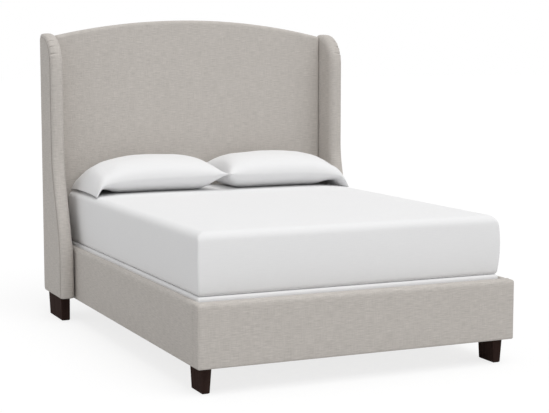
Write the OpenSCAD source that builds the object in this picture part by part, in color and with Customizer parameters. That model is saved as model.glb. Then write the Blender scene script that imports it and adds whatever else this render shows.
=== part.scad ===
// Upholstered wing bed with its foundation, mattress and two pillows. Sizes are in millimetres.
// The origin is on the floor under the middle of the bed, +Y points to the headboard, +Z up.

/* [Mattress] */
// Width of the mattress and of the foundation under it
mattress_w = 1516; // [1400:2:1700]
// Length of the mattress and of the foundation
mattress_l = 2028; // [1900:2:2130]
// Thickness of the mattress
mattress_h = 288; // [200:1:330]
// Radius of the mattress's upright corners
mattress_corner_r = 24; // [15:1:80]
// Radius of the mattress's top edge
mattress_edge_r = 38; // [25:1:50]
// How far the mattress's lower edge is drawn in
mattress_draw_in = 12; // [4:1:20]
// Height over which the mattress's lower edge is drawn in
mattress_draw_h = 34; // [20:1:100]
// Width of the rolled edge at the mattress's bottom
mattress_foot_r = 10; // [5:1:12]
// Rise of the mattress's top between its edge and the flat middle
mattress_crown = 6; // [2:1:10]
// Distance over which the mattress's top rises
mattress_crown_d = 150; // [80:1:300]
// Thickness of the quilted mattress cover
mattress_cover_t = 5; // [3:0.5:8]
// Thickness of the soft foam under the cover
comfort_t = 70; // [40:1:90]
// Thickness of the firm foam at the bottom
base_foam_t = 50; // [30:1:70]

/* [Foundation] */
// Height of the foundation
foundation_h = 229; // [200:1:240]
// Radius of the foundation's upright corners
foundation_corner_r = 22; // [15:1:60]
// Radius of the foundation's top edge
foundation_edge_r = 18; // [10:1:24]
// Thickness of the foundation's ticking
foundation_cover_t = 3; // [2:0.5:5]
// Thickness of the felt pad on the foundation's slats
foundation_pad_t = 8; // [5:1:12]
// Thickness of the foundation's boards
foundation_board_t = 19; // [15:1:24]
// Width of a foundation slat
foundation_slat_w = 75; // [60:1:100]
// Number of foundation slats
foundation_slats_n = 9; // [7:1:12]
// Width of the rolled edge at the foundation's bottom
foundation_foot_r = 3; // [2:0.5:5]
// Play between the foundation's frame and its ticking
foundation_play = 3; // [1:0.5:5]

/* [Pillows] */
// Length of a pillow in its case
pillow_l = 742; // [680:1:752]
// Depth of a pillow from front to back
pillow_d = 500; // [440:1:520]
// Height of a pillow's crest
pillow_h = 194; // [180:1:220]
// Height of a pillow's seam above the mattress
pillow_seam_h = 86; // [70:1:90]
// Gap between the two pillows
pillow_gap = 8; // [4:1:20]
// Gap between the pillows and the headboard
pillow_back_gap = 14; // [8:1:30]
// Thickness of the pillowcase with its turned hems
case_t = 2.4; // [2:0.2:4]

/* [Rails] */
// Gap between the mattress and a side rail
rail_gap = 9; // [6:0.5:20]
// Thickness of an upholstered side rail
rail_t = 30.5; // [28:0.5:40]
// Height of the rails
rail_h = 284; // [260:1:300]
// Height of the rails' lower edge above the floor
rail_clear = 120; // [100:1:150]
// Thickness of the upholstered foot rail
foot_rail_t = 58; // [50:1:80]
// Gap between the mattress and the foot rail
foot_gap = 31; // [10:1:50]
// Radius of the rails' outer top edge
rail_edge_r = 16; // [10:1:20]
// Radius of the rails' other edges
rail_small_r = 6; // [4:0.5:8]
// Thickness of the rail covers
rail_cover_t = 1.5; // [1:0.25:2]
// Thickness of the padding on the side rails
rail_padding_t = 5; // [3:0.5:7]
// Thickness of the padding on the foot rail's front
foot_padding_t = 12; // [8:1:16]
// Radius of the foot rail's upright front corners
foot_corner_r = 14; // [8:1:20]

/* [Headboard] */
// Gap between the mattress and the headboard
head_gap = 6; // [5:0.5:12]
// Thickness of the upholstered headboard
headboard_t = 57; // [52:1:75]
// Height of the headboard's crown
crown_h = 1645; // [1580:1:1700]
// Rise of the headboard's arch between the wings and its crown
arch_rise = 91; // [60:1:130]
// Height of the lower edge of the headboard and of the wings
head_base_z = 132; // [124:1:140]
// Radius of the headboard's front top edge
head_edge_r = 17; // [10:1:20]
// Thickness of the headboard's cover
head_cover_t = 2; // [1.5:0.25:3]
// Thickness of the headboard's foam
head_foam_t = 20; // [18:1:24]
// Thickness of the headboard's plywood panel
head_panel_t = 12; // [9:1:15]
// Thickness of the dust cloth on the back
head_back_t = 1.5; // [1:0.25:2]
// Width of the headboard's frame timbers
stile_w = 90; // [70:1:120]

/* [Wings] */
// Gap between a side rail and a wing
wing_gap = 12.5; // [8:0.5:20]
// Thickness of a wing
wing_t = 76; // [70:1:90]
// Depth of a wing's side at its foot
wing_low_d = 329; // [300:1:360]
// Depth of a wing's side above its sweep
wing_up_d = 192; // [180:1:230]
// Height where the sweep of a wing's front starts
sweep_low_z = 330; // [300:1:420]
// Height where the sweep of a wing's front ends
sweep_top_z = 930; // [800:1:1000]
// Rise of a wing's top above the headboard's shoulder
wing_rise = 13; // [5:1:25]
// Radius of a wing's top front corner
wing_top_r = 152; // [120:1:170]
// How far the padded roll stands proud of a wing's front and top
wing_roll = 26; // [20:1:32]
// Radius of a wing's lower back corner
wing_heel_r = 25; // [15:1:40]
// Thickness of a wing's flat outer panel
wing_panel_t = 3; // [2:0.5:4]
// Thickness of a wing's plywood board
wing_board_t = 18; // [15:1:21]
// Distance of the board's edge inside the outer panel's edge
wing_board_in = 14; // [10:1:20]
// Thickness of a wing's cover
wing_cover_t = 2; // [1.5:0.25:3]
// Height of the timber block in a wing's foot
wing_block_h = 70; // [50:1:100]
// Distance of the wing's post below the top of its seam
wing_post_drop = 40; // [30:1:80]
// Depth of the wing's post
wing_post_d = 45; // [35:1:60]

/* [Legs] */
// Width of a front leg at its top
front_leg_w = 50; // [44:1:58]
// Depth of a front leg at its top
front_leg_d = 135; // [110:1:140]
// Distance of a front leg inside the side rail's outer face
front_leg_in_x = 32; // [31:0.5:36]
// Distance of a front leg behind the foot rail's front face
front_leg_in_y = 49; // [40:1:70]
// Width of a rear leg at its top
rear_leg_w = 52; // [46:1:58]
// Depth of a rear leg at its top
rear_leg_d = 248; // [200:1:260]
// Distance of a rear leg inside a wing's outer face
rear_leg_in_x = 13; // [9:0.5:16]
// Distance of a rear leg behind a wing's lower front seam
rear_leg_in_y = 36; // [30:1:60]
// How far the legs' outer faces draw in towards the floor
leg_taper = 6; // [2:0.5:8]
// How far the front legs' inner faces draw in towards the floor
leg_inner_taper = 7; // [2:0.5:8]
// Width of the bevel on the legs' upright edges
leg_bevel = 2; // [1:0.5:3]
// Thickness of the felt pads under the legs
glide_t = 3; // [2:0.5:5]
// Distance of a felt pad inside its leg's foot
glide_in = 4; // [3:0.5:6]
// Radius of the bolts that hold the legs
leg_bolt_r = 4; // [3:0.5:5]
// Reach of the bolts into leg and block
leg_bolt_reach = 40; // [30:1:45]

/* [Slats] */
// Height of the slats' top above the rails' lower edge
slat_rise = 69; // [64:1:76]
// Thickness of a slat
slat_t = 19; // [17:1:22]
// Width of a slat
slat_w = 90; // [70:1:120]
// Number of slats
slats_n = 5; // [4:1:7]
// Width of the cleats that carry the slats
cleat_w = 22; // [18:1:30]
// Height of the cleats
cleat_h = 38; // [30:1:40]
// Width of the centre beam
beam_w = 38; // [30:1:50]
// Height of the centre beam
beam_h = 64; // [50:1:70]
// Width of a centre leg
centre_leg_w = 44; // [40:1:60]
// Distance between the centre legs
centre_leg_step = 560; // [450:5:600]
// Height of the centre legs' lower end above the floor
centre_leg_z = 26; // [24:1:32]
// Radius of a levelling foot's pad
pad_r = 19; // [15:1:21]
// Thickness of a levelling foot's pad
pad_t = 9; // [7:0.5:10]
// Depth of the socket in a pad
pad_socket = 5; // [3:0.5:6]
// Radius of a levelling foot's threaded stem
stem_r = 5; // [4:0.5:6]
// Length of a levelling foot's stem above its pad
stem_l = 48; // [42:1:56]
// Radius of the flange on a stem nut
nut_flange_r = 12; // [10:0.5:15]
// Thickness of the flange on a stem nut
nut_flange_t = 2; // [1.5:0.25:3]
// Length of a stem nut in its leg
nut_l = 14; // [10:1:18]
// Wall of a stem nut
nut_wall = 2; // [1.5:0.25:3]
// Room round the stem inside its leg
stem_room = 1; // [0.5:0.25:1.5]

/* [Joinery] */
// Width of the timber blocks in the front corners
block_w = 64; // [62:1:80]
// Height of the front corner blocks
block_h = 58; // [50:1:62]
// Radius of the bolts in the frame
bolt_r = 4; // [3:0.5:5]
// Radius of the bolt heads
bolt_head_r = 8; // [7:0.5:10]
// Thickness of the bolt heads
bolt_head_t = 3; // [2:0.5:4]
// Reach of the bolts into the board or post that they hold
bolt_reach = 18; // [12:1:19]
// Distance of the wing bolts from the headboard frame's corners
bolt_edge = 60; // [40:1:90]
// Distance of the corner bolts inside the corner blocks' faces
corner_edge = 15; // [12:0.5:18]
// Thickness of the steel brackets between the side rails and the headboard
bracket_t = 3; // [2.5:0.25:4]
// Length of a bracket's arms
bracket_arm = 70; // [60:1:90]
// Height of a bracket
bracket_h = 120; // [90:1:140]
// Height of a bracket's lower end above the rails' lower edge
bracket_rise = 90; // [80:1:110]
// Distance of the bracket screws from a bracket's ends
bracket_edge = 28; // [20:1:35]
// Radius of a screw
screw_r = 2; // [1.5:0.25:2.25]
// Length of the screws through slats and cleats
screw_l = 38; // [34:1:40]
// Length of the screws between bracket and side rail
rail_screw_l = 20; // [14:1:22]
// Length of the screws between bracket and headboard
head_screw_l = 50; // [42:1:52]

/* [Hidden] */

// Clearance between pieces that lie one inside another
fit = 0.3;
// Radial clearance of a bolt, screw or stem in its hole
bore_fit = 0.05;
// Overlap that carries a cut past a face
cut = 1;

linen = [0.71, 0.69, 0.66];
linen_shade = [0.66, 0.64, 0.61];
pine = [0.80, 0.67, 0.47];
ply = [0.76, 0.62, 0.42];
foam_colour = [0.93, 0.90, 0.80];
core_colour = [0.85, 0.87, 0.90];
espresso = [0.17, 0.13, 0.12];
white_cloth = [0.94, 0.94, 0.94];
felt = [0.45, 0.44, 0.42];
zinc = [0.70, 0.71, 0.73];
black_plastic = [0.08, 0.08, 0.08];
dust_cloth = [0.20, 0.20, 0.21];

$fn = 48;

// Lengthways places
bed_l = foot_rail_t + foot_gap + mattress_l + head_gap + headboard_t;
foot_y = -bed_l / 2;
back_y = bed_l / 2;
head_y = back_y - headboard_t;
rail_y0 = foot_y + foot_rail_t;
rail_y1 = head_y - fit;
mattress_y = rail_y0 + foot_gap + mattress_l / 2;

// Sideways places
rail_in_x = mattress_w / 2 + rail_gap;
rail_out_x = rail_in_x + rail_t;
wing_in_x = rail_out_x + wing_gap;
wing_out_x = wing_in_x + wing_t;
wing_seam_x = wing_out_x - wing_panel_t;
head_half_w = wing_in_x - fit;

// Heights
shoulder_z = crown_h - arch_rise;
rail_top_z = rail_clear + rail_h;
slat_z = rail_clear + slat_rise;
cleat_top_z = slat_z - slat_t;
foundation_top_z = slat_z + foundation_h;
mattress_top_z = foundation_top_z + mattress_h;
pillow_z = mattress_top_z + fit;
wing_top_z = shoulder_z + wing_rise - wing_roll;

// Circle of the headboard's arch through its shoulders and crown
arch_r = (head_half_w * head_half_w + arch_rise * arch_rise) / (2 * arch_rise);
arch_z = crown_h - arch_r;

// Layers of the headboard, from its front face
head_skin = head_cover_t + fit;
foam_y0 = head_y + head_skin;
panel_y0 = foam_y0 + head_foam_t;
frame_y0 = panel_y0 + head_panel_t;
frame_y1 = back_y - head_back_t;

// Layers of the rails, from their inner faces
rail_skin = rail_cover_t + fit;
rail_board_t = rail_t - 2 * rail_skin - rail_padding_t;
foot_board_t = foot_rail_t - 2 * rail_skin - foot_padding_t;

// Layers of a wing, from its inner face
wing_skin = wing_cover_t + fit;
board_x1 = wing_seam_x - fit;
board_x0 = board_x1 - wing_board_t;

// Leg places
front_leg_x = rail_out_x - front_leg_in_x;
front_leg_y = foot_y + front_leg_in_y;
rear_leg_x = wing_out_x - rear_leg_in_x;
rear_leg_y = back_y - wing_low_d + rear_leg_in_y;
post_y0 = back_y - wing_post_d;
block_y1 = front_leg_y + front_leg_d;

// Slat places
slat_y0 = block_y1 + slat_w;
slat_y1 = head_y - bracket_arm - slat_w / 2;
slat_step = (slat_y1 - slat_y0) / (slats_n - 1);
beam_z = cleat_top_z - beam_h;
centre_legs_n = 3;

// Eases from 0 to 1, level at both ends
function smooth(t) = t * t * (3 - 2 * t);

// Stands a side outline, points in Y and Z, up at one X place
function stand(outline, x) = [for (p = outline) [x, p[0], p[1]]];

// Closed solid through rings of points, which run clockwise seen from before the first ring.
// Its faces are split the other way if other is true, to lie along rings that run back again.
module loft(rings, other = false) {
  n = len(rings[0]);
  m = len(rings);
  sides = [for (i = [0 : m - 2], j = [0 : n - 1], half = [0, 1])
    let (a = i * n + j, b = i * n + (j + 1) % n, c = a + n, d = b + n)
    half == 0 ? [a, c, other ? b : d] : [other ? c : a, d, b]];
  first = [for (j = [0 : n - 1]) j];
  last = [for (j = [n - 1 : -1 : 0]) (m - 1) * n + j];
  polyhedron([for (ring = rings) each ring], concat([first, last], sides));
}

// Rings in the opposite order, which turns their loft inside out
function back_again(rings) = [for (k = [len(rings) - 1 : -1 : 0]) rings[k]];

// Ring of a rectangle w by l with corners of radius r, drawn in by inset, at height z
function slab_ring(w, l, r, inset, z, steps = 4) = [
  for (quarter = [0 : 3], k = [0 : steps])
    let (
      a = 90 * quarter + 90 * k / steps,
      sx = quarter == 0 || quarter == 3 ? 1 : -1,
      sy = quarter < 2 ? 1 : -1,
      rr = max(r - inset, fit)
    )
    [sx * (w / 2 - inset - rr) + rr * cos(a), mattress_y + sy * (l / 2 - inset - rr) + rr * sin(a), z]
];

// Rows of inset and height that round a slab's top edge
function edge_rows(r, inset, top, steps = 5) = [
  for (k = [0 : steps]) let (a = 90 * k / steps) [inset + r * (1 - cos(a)), top - r + r * sin(a)]
];

// What a cut takes from a corner at the origin to round it by r
module corner_off(r) {
  difference() {
    translate([-cut, -cut]) square(r + cut);
    translate([r, r]) circle(r);
  }
}

module both_sides() {
  children();
  mirror([1, 0, 0]) children();
}

// Bolt with a flat head below the origin and its shank along +Z
module bolt(l) {
  cylinder(r = bolt_r, h = l);
  translate([0, 0, -bolt_head_t]) cylinder(r = bolt_head_r, h = bolt_head_t);
}

module bolt_hole(l) {
  translate([0, 0, -cut]) cylinder(r = bolt_r + bore_fit, h = l + cut + fit);
}

// Countersunk screw, its head flush with the origin and its shank along +Z
module screw(l, grow = 0) {
  cylinder(r = screw_r + grow, h = l + grow);
  cylinder(r1 = 2 * screw_r + grow, r2 = screw_r + grow, h = screw_r);
}

module screw_hole(l) {
  screw(l, bore_fit);
}

// Headboard

// Slab under the headboard's arch from y0 to y1, its front top edge rounded by r
module arch_slab(y0, y1, inset, r, base) {
  radius = arch_r - inset;
  half = head_half_w - inset;
  intersection() {
    translate([0, 0, arch_z]) rotate([-90, 0, 0]) rotate_extrude($fn = 360) difference() {
      translate([0, y0]) square([radius, y1 - y0]);
      if (r > 0) translate([radius, y0]) mirror([1, 0]) corner_off(r);
    }
    translate([-half, y0 - cut, base]) cube([2 * half, y1 - y0 + 2 * cut, crown_h]);
  }
}

module headboard_cover() {
  color(linen) difference() {
    arch_slab(head_y, frame_y1, 0, head_edge_r, head_base_z);
    arch_slab(head_y + head_cover_t, frame_y1 + cut, head_cover_t,
      head_edge_r - head_cover_t, head_base_z + head_cover_t);
    both_sides() wing_bolt_places() bolt_hole(wing_bolt_l);
    both_sides() head_screw_places() screw_hole(head_screw_l);
  }
}

module headboard_foam() {
  color(foam_colour) difference() {
    arch_slab(foam_y0, panel_y0, head_skin, head_edge_r - head_skin, head_base_z + head_skin);
    both_sides() head_screw_places() screw_hole(head_screw_l);
  }
}

module headboard_panel() {
  color(ply) difference() {
    arch_slab(panel_y0, frame_y0, head_skin, 0, head_base_z + head_skin);
    both_sides() head_screw_places() screw_hole(head_screw_l);
  }
}

// Frame of stiles and rails, with one window below the middle rail and one above it
module headboard_frame() {
  half = head_half_w - head_skin - stile_w;
  lower_z = head_base_z + stile_w;
  upper_z = rail_top_z + stile_w;
  color(pine) difference() {
    arch_slab(frame_y0, frame_y1, head_skin, 0, head_base_z + head_skin);
    translate([-half, frame_y0 - cut, lower_z])
      cube([2 * half, headboard_t, rail_top_z - lower_z]);
    arch_slab(frame_y0 - cut, frame_y1 + cut, head_skin + stile_w, 0, upper_z);
    both_sides() wing_bolt_places() bolt_hole(wing_bolt_l);
    both_sides() head_screw_places() screw_hole(head_screw_l);
  }
}

module headboard_back_cloth() {
  color(dust_cloth) arch_slab(frame_y1, back_y, head_cover_t, 0, head_base_z + head_cover_t);
}

// Wings

wing_arc_y = back_y - wing_up_d + wing_top_r;
wing_arc_z = wing_top_z - wing_top_r;
sweep_h = sweep_top_z - sweep_low_z;
sweep_d = wing_low_d - wing_up_d;
sweep_steps = 8;
arc_steps = 8;
heel_steps = 3;
roll_steps = 8;

// Point at share t of a wing's sweep, moved out by d square to the seam
function sweep_point(t, d) =
  let (slope = sweep_d * 6 * t * (1 - t) / sweep_h, long = sqrt(1 + slope * slope))
  [back_y - wing_low_d + sweep_d * smooth(t) - d / long,
    sweep_low_z + t * sweep_h + d * slope / long];

// Side outline of a wing, its front and top moved out by d and its back and foot in by inset
function wing_outline(d, inset) = concat(
  [[back_y - wing_low_d - d, head_base_z + inset]],
  [for (k = [0 : sweep_steps]) sweep_point(k / sweep_steps, d)],
  [for (k = [0 : arc_steps]) let (a = 180 - 90 * k / arc_steps)
    [wing_arc_y + (wing_top_r + d) * cos(a), wing_arc_z + (wing_top_r + d) * sin(a)]],
  [[back_y - inset, wing_top_z + d]],
  [for (k = [0 : heel_steps]) let (a = -90 * k / heel_steps, c = max(wing_heel_r, inset + fit))
    [back_y - c + (c - inset) * cos(a), head_base_z + c + (c - inset) * sin(a)]]
);

// Rings of the right wing's padded form from x1 to x0, its front and top bulging into a roll,
// drawn in by skin
function wing_rings(x0, x1, skin) =
  let (half = (x1 - x0) / 2)
  [for (k = [0 : roll_steps]) let (a = 180 * k / roll_steps)
    stand(wing_outline(wing_roll * sin(a) - skin, skin), x0 + half + half * cos(a))];

// Flat piece with the right wing's outline
module wing_slab(x0, x1, d, inset) {
  translate([x0, 0, 0]) rotate([90, 0, 90]) linear_extrude(x1 - x0)
    polygon(wing_outline(d, inset));
}

module wing_cover() {
  hollow = wing_rings(wing_in_x + wing_cover_t, wing_seam_x, wing_cover_t);
  color(linen) difference() {
    loft(concat(back_again(hollow), wing_rings(wing_in_x, wing_seam_x, 0)));
    wing_bolt_places() bolt_hole(wing_bolt_l);
    rear_leg_bolt_place() leg_bolt_hole();
  }
}

module wing_foam() {
  recess = wing_outline(fit - wing_board_in, wing_board_in - fit);
  color(foam_colour) difference() {
    loft(concat([stand(recess, board_x0 - fit), stand(recess, board_x1)],
      wing_rings(wing_in_x + wing_skin, board_x1, wing_skin)), true);
    wing_timber(fit);
  }
}

module wing_board() {
  color(ply) wing_slab(board_x0, board_x1, -wing_board_in, wing_board_in);
}

// Block over the leg and post behind it, grown by grow
module wing_timber(grow) {
  x0 = wing_in_x + wing_skin - cut * sign(grow);
  w = board_x0 - x0 + grow;
  y0 = rear_leg_y - grow;
  intersection() {
    union() {
      translate([x0, y0, 0]) cube([w, back_y - y0, head_base_z + wing_block_h + grow]);
      translate([x0, post_y0 - grow, 0])
        cube([w, back_y - post_y0 + grow, wing_top_z - wing_post_drop + grow]);
    }
    wing_slab(x0, x0 + w, 0, wing_skin - (cut + wing_skin) * sign(grow));
  }
}

module wing_frame() {
  color(pine) difference() {
    wing_timber(0);
    wing_bolt_places() bolt_hole(wing_bolt_l);
    rear_leg_bolt_place() leg_bolt_hole();
  }
}

module wing_side_panel() {
  color(linen_shade) wing_slab(wing_seam_x, wing_out_x, 0, 0);
}

// Places of the bolts that pull the right wing onto the headboard's stile
wing_bolt_l = stile_w + head_skin + fit + wing_skin + bolt_reach;

module wing_bolt_places() {
  for (z = [head_base_z + stile_w + bolt_edge, rail_top_z + stile_w + bolt_edge,
    shoulder_z - stile_w - bolt_edge])
    translate([head_half_w - head_skin - stile_w, (frame_y0 + frame_y1) / 2, z])
      rotate([0, 90, 0]) children();
}

module wing_bolts() {
  color(zinc) both_sides() wing_bolt_places() bolt(wing_bolt_l);
}

// Rails

// Section of a side rail, its outer face at 0 and its inner face at rail_t, drawn in by inset
module rail_section(inset) {
  difference() {
    translate([inset, inset]) square([rail_t - 2 * inset, rail_h - 2 * inset]);
    translate([inset, rail_h - inset]) mirror([0, 1]) corner_off(rail_edge_r - inset);
    translate([rail_t - inset, rail_h - inset]) rotate(180) corner_off(rail_small_r - inset);
    translate([inset, inset]) corner_off(rail_small_r - inset);
  }
}

// Form of the right side rail, drawn in by inset
module side_rail_form(inset) {
  translate([rail_out_x, rail_y1 - inset, rail_clear]) rotate([90, 0, 0])
    linear_extrude(rail_y1 - rail_y0 - fit - 2 * inset) mirror([1, 0]) rail_section(inset);
}

module rail_cover() {
  color(linen) difference() {
    side_rail_form(0);
    side_rail_form(rail_cover_t);
    rail_holes();
  }
}

module rail_holes() {
  corner_bolt_place() bolt_hole(corner_bolt_l);
  rail_screw_places() screw_hole(rail_screw_l);
  cleat_screw_places() screw_hole(screw_l);
}

module rail_padding() {
  color(foam_colour) difference() {
    side_rail_form(rail_skin);
    rail_board_body(fit);
  }
}

// Board of the right side rail, grown by grow where it lies in the padding
module rail_board_body(grow) {
  y0 = rail_y0 + fit + rail_skin;
  over = cut * sign(grow);
  translate([rail_in_x + rail_skin - over, y0 - over, rail_clear + rail_skin - over])
    cube([rail_board_t + over, rail_y1 - rail_skin - y0 + 2 * over,
      rail_h - 2 * rail_skin - rail_padding_t + over]);
}

module rail_board() {
  color(pine) difference() {
    rail_board_body(0);
    rail_holes();
  }
}

// Form of the foot rail with its rounded front corners, drawn in by inset
module foot_rail_form(inset) {
  half = rail_out_x - inset;
  t = foot_rail_t - 2 * inset;
  h = rail_h - 2 * inset;
  big = rail_edge_r - inset;
  small = rail_small_r - inset;
  corner = foot_corner_r - inset;
  intersection() {
    // Seen from the side
    translate([-half, foot_y + inset, rail_clear + inset]) rotate([90, 0, 90])
      linear_extrude(2 * half) difference() {
        square([t, h]);
        translate([0, h]) mirror([0, 1]) corner_off(big);
        translate([t, h]) rotate(180) corner_off(small);
        corner_off(small);
      }
    // Seen from the front
    translate([0, rail_y0, rail_clear + inset]) rotate([90, 0, 0])
      linear_extrude(foot_rail_t) difference() {
        translate([-half, 0]) square([2 * half, h]);
        for (side = [0, 1]) mirror([side, 0]) {
          translate([half, h]) rotate(180) corner_off(big);
          translate([half, 0]) mirror([1, 0]) corner_off(small);
        }
      }
    // Seen from above
    translate([0, foot_y + inset, rail_clear]) linear_extrude(rail_h) difference() {
      translate([-half, 0]) square([2 * half, t]);
      for (side = [0, 1]) mirror([side, 0]) translate([-half, 0]) corner_off(corner);
    }
  }
}

module foot_rail_cover() {
  color(linen) difference() {
    foot_rail_form(0);
    foot_rail_form(rail_cover_t);
    both_sides() foot_bolt_place() bolt_hole(foot_bolt_l);
  }
}

module foot_rail_padding() {
  color(foam_colour) difference() {
    foot_rail_form(rail_skin);
    foot_board_body(cut);
  }
}

// Board of the foot rail, carried past its open faces by over
module foot_board_body(over) {
  half = rail_out_x - rail_skin - rail_padding_t;
  translate([-half, rail_y0 - rail_skin - foot_board_t, rail_clear + rail_skin - over])
    cube([2 * half, foot_board_t + over, rail_h - 2 * rail_skin - rail_padding_t + over]);
}

module foot_rail_board() {
  color(pine) difference() {
    foot_board_body(0);
    both_sides() foot_bolt_place() bolt_hole(foot_bolt_l);
  }
}

// Corner blocks with their bolts

corner_bolt_l = block_w + rail_skin + bolt_reach;
foot_bolt_l = block_y1 - rail_y0 + rail_skin + bolt_reach;

module corner_blocks() {
  color(pine) both_sides() difference() {
    translate([rail_in_x - block_w, rail_y0, rail_clear])
      cube([block_w, block_y1 - rail_y0, block_h]);
    front_leg_bolt_place() leg_bolt_hole();
    corner_bolt_place() bolt_hole(corner_bolt_l);
    foot_bolt_place() bolt_hole(foot_bolt_l);
  }
}

// Place of the bolt from the right block into its side rail
module corner_bolt_place() {
  translate([rail_in_x - block_w, block_y1 - 2 * corner_edge, rail_clear + block_h - corner_edge])
    rotate([0, 90, 0]) children();
}

// Place of the bolt from the right block into the foot rail
module foot_bolt_place() {
  translate([rail_in_x - block_w + corner_edge, block_y1, rail_clear + block_h / 2])
    rotate([90, 0, 0]) children();
}

module corner_bolts() {
  color(zinc) both_sides() {
    corner_bolt_place() bolt(corner_bolt_l);
    foot_bolt_place() bolt(foot_bolt_l);
  }
}

// Angle brackets between side rails and headboard

module rail_brackets() {
  z0 = rail_clear + bracket_rise;
  color(zinc) both_sides() difference() {
    translate([rail_in_x - bracket_arm, head_y - bracket_arm, z0])
      cube([bracket_arm, bracket_arm, bracket_h]);
    translate([rail_in_x - bracket_arm - cut, head_y - bracket_arm - cut, z0 - cut])
      cube([bracket_arm - bracket_t + cut, bracket_arm - bracket_t + cut, bracket_h + 2 * cut]);
    rail_screw_places() screw_hole(rail_screw_l);
    head_screw_places() screw_hole(head_screw_l);
  }
}

module bracket_screw_heights() {
  z0 = rail_clear + bracket_rise;
  for (z = [z0 + bracket_edge, z0 + bracket_h - bracket_edge]) translate([0, 0, z]) children();
}

module rail_screw_places() {
  bracket_screw_heights()
    translate([rail_in_x - bracket_t, head_y - bracket_arm + bracket_edge, 0])
      rotate([0, 90, 0]) children();
}

module head_screw_places() {
  bracket_screw_heights()
    translate([rail_in_x - bracket_edge, head_y - bracket_t, 0])
      rotate([-90, 0, 0]) children();
}

module bracket_screws() {
  color(zinc) both_sides() {
    rail_screw_places() screw(rail_screw_l);
    head_screw_places() screw(head_screw_l);
  }
}

// Legs

// Tapered leg, its top outer front corner at x, y and its inner face drawn in by inner
module leg(x, y, w, d, top, inner) {
  slice = 0.1;
  hull() {
    translate([x - w, y, top - slice]) linear_extrude(slice) leg_outline(w, d);
    translate([x - w + inner, y + leg_taper, glide_t]) linear_extrude(slice)
      leg_outline(w - inner - leg_taper, d - leg_taper - leg_bevel);
  }
}

// Rectangle with bevelled corners
module leg_outline(w, d) {
  b = leg_bevel;
  polygon([[b, 0], [w - b, 0], [w, b], [w, d - b], [w - b, d], [b, d], [0, d - b], [0, b]]);
}

module front_leg() {
  color(espresso) difference() {
    leg(front_leg_x, front_leg_y, front_leg_w, front_leg_d, rail_clear, leg_inner_taper);
    front_leg_bolt_place() leg_bolt_hole();
  }
}

module rear_leg() {
  color(espresso) difference() {
    leg(rear_leg_x, rear_leg_y, rear_leg_w, rear_leg_d, head_base_z, 0);
    rear_leg_bolt_place() leg_bolt_hole();
  }
}

module front_leg_bolt_place() {
  translate([front_leg_x - front_leg_w / 2, front_leg_y + front_leg_d / 2, rail_clear]) children();
}

module rear_leg_bolt_place() {
  translate([rear_leg_x - rear_leg_w / 2, rear_leg_y + rear_leg_d / 2, head_base_z]) children();
}

module leg_bolt_hole() {
  reach = leg_bolt_reach + fit;
  translate([0, 0, -reach]) cylinder(r = leg_bolt_r + bore_fit, h = 2 * reach);
}

module leg_bolts() {
  color(zinc) both_sides() {
    front_leg_bolt_place() leg_bolt();
    rear_leg_bolt_place() leg_bolt();
  }
}

module leg_bolt() {
  translate([0, 0, -leg_bolt_reach]) cylinder(r = leg_bolt_r, h = 2 * leg_bolt_reach);
}

// Felt pad under a leg of the same place and size
module pad_under(x, y, w, d, inner) {
  translate([x - w + inner + glide_in, y + leg_taper + glide_in, 0])
    cube([w - inner - leg_taper - 2 * glide_in, d - leg_taper - leg_bevel - 2 * glide_in, glide_t]);
}

module leg_pads() {
  color(felt) both_sides() {
    pad_under(front_leg_x, front_leg_y, front_leg_w, front_leg_d, leg_inner_taper);
    pad_under(rear_leg_x, rear_leg_y, rear_leg_w, rear_leg_d, 0);
  }
}

// Slats with what carries them

module cleats() {
  color(pine) both_sides() difference() {
    translate([rail_in_x - cleat_w, block_y1, cleat_top_z - cleat_h])
      cube([cleat_w, rail_y1 - block_y1, cleat_h]);
    cleat_screw_places() screw_hole(screw_l);
    slat_screw_places([1]) screw_hole(screw_l);
  }
}

// Places of the screws from the right cleat into its rail, between the slats
module cleat_screw_places() {
  for (k = [0 : slats_n - 2])
    translate([rail_in_x - cleat_w, slat_y0 + (k + 0.5) * slat_step, cleat_top_z - cleat_h / 2])
      rotate([0, 90, 0]) children();
}

module cleat_screws() {
  color(zinc) both_sides() cleat_screw_places() screw(screw_l);
}

module slats() {
  half = rail_in_x - fit;
  color(pine) difference() {
    for (k = [0 : slats_n - 1])
      translate([-half, slat_y0 + k * slat_step - slat_w / 2, cleat_top_z])
        cube([2 * half, slat_w, slat_t]);
    slat_screw_places([-1, 0, 1]) screw_hole(screw_l);
  }
}

// Places of the screws down through the slats, at the left, middle or right
module slat_screw_places(sides) {
  for (k = [0 : slats_n - 1], side = sides)
    translate([side * (rail_in_x - cleat_w / 2), slat_y0 + k * slat_step, slat_z])
      rotate([180, 0, 0]) children();
}

module slat_screws() {
  color(zinc) slat_screw_places([-1, 0, 1]) screw(screw_l);
}

module centre_beam() {
  color(pine) difference() {
    translate([-beam_w / 2, slat_y0 - slat_w / 2, beam_z])
      cube([beam_w, slat_y1 - slat_y0 + slat_w, beam_h]);
    slat_screw_places([0]) screw_hole(screw_l);
  }
}

// Place of centre leg k, counted from the foot end
module centre_leg_place(k) {
  translate([0, (k - 2) * centre_leg_step, 0]) children();
}

module centre_legs() {
  color(pine) for (k = [1 : centre_legs_n]) centre_leg_place(k) difference() {
    translate([-centre_leg_w / 2, -centre_leg_w / 2, centre_leg_z])
      cube([centre_leg_w, centre_leg_w, beam_z - centre_leg_z]);
    translate([0, 0, centre_leg_z - cut]) cylinder(r = stem_r + nut_wall + fit, h = nut_l + cut);
    translate([0, 0, centre_leg_z]) cylinder(r = stem_r + stem_room, h = pad_t + stem_l);
  }
}

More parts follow.
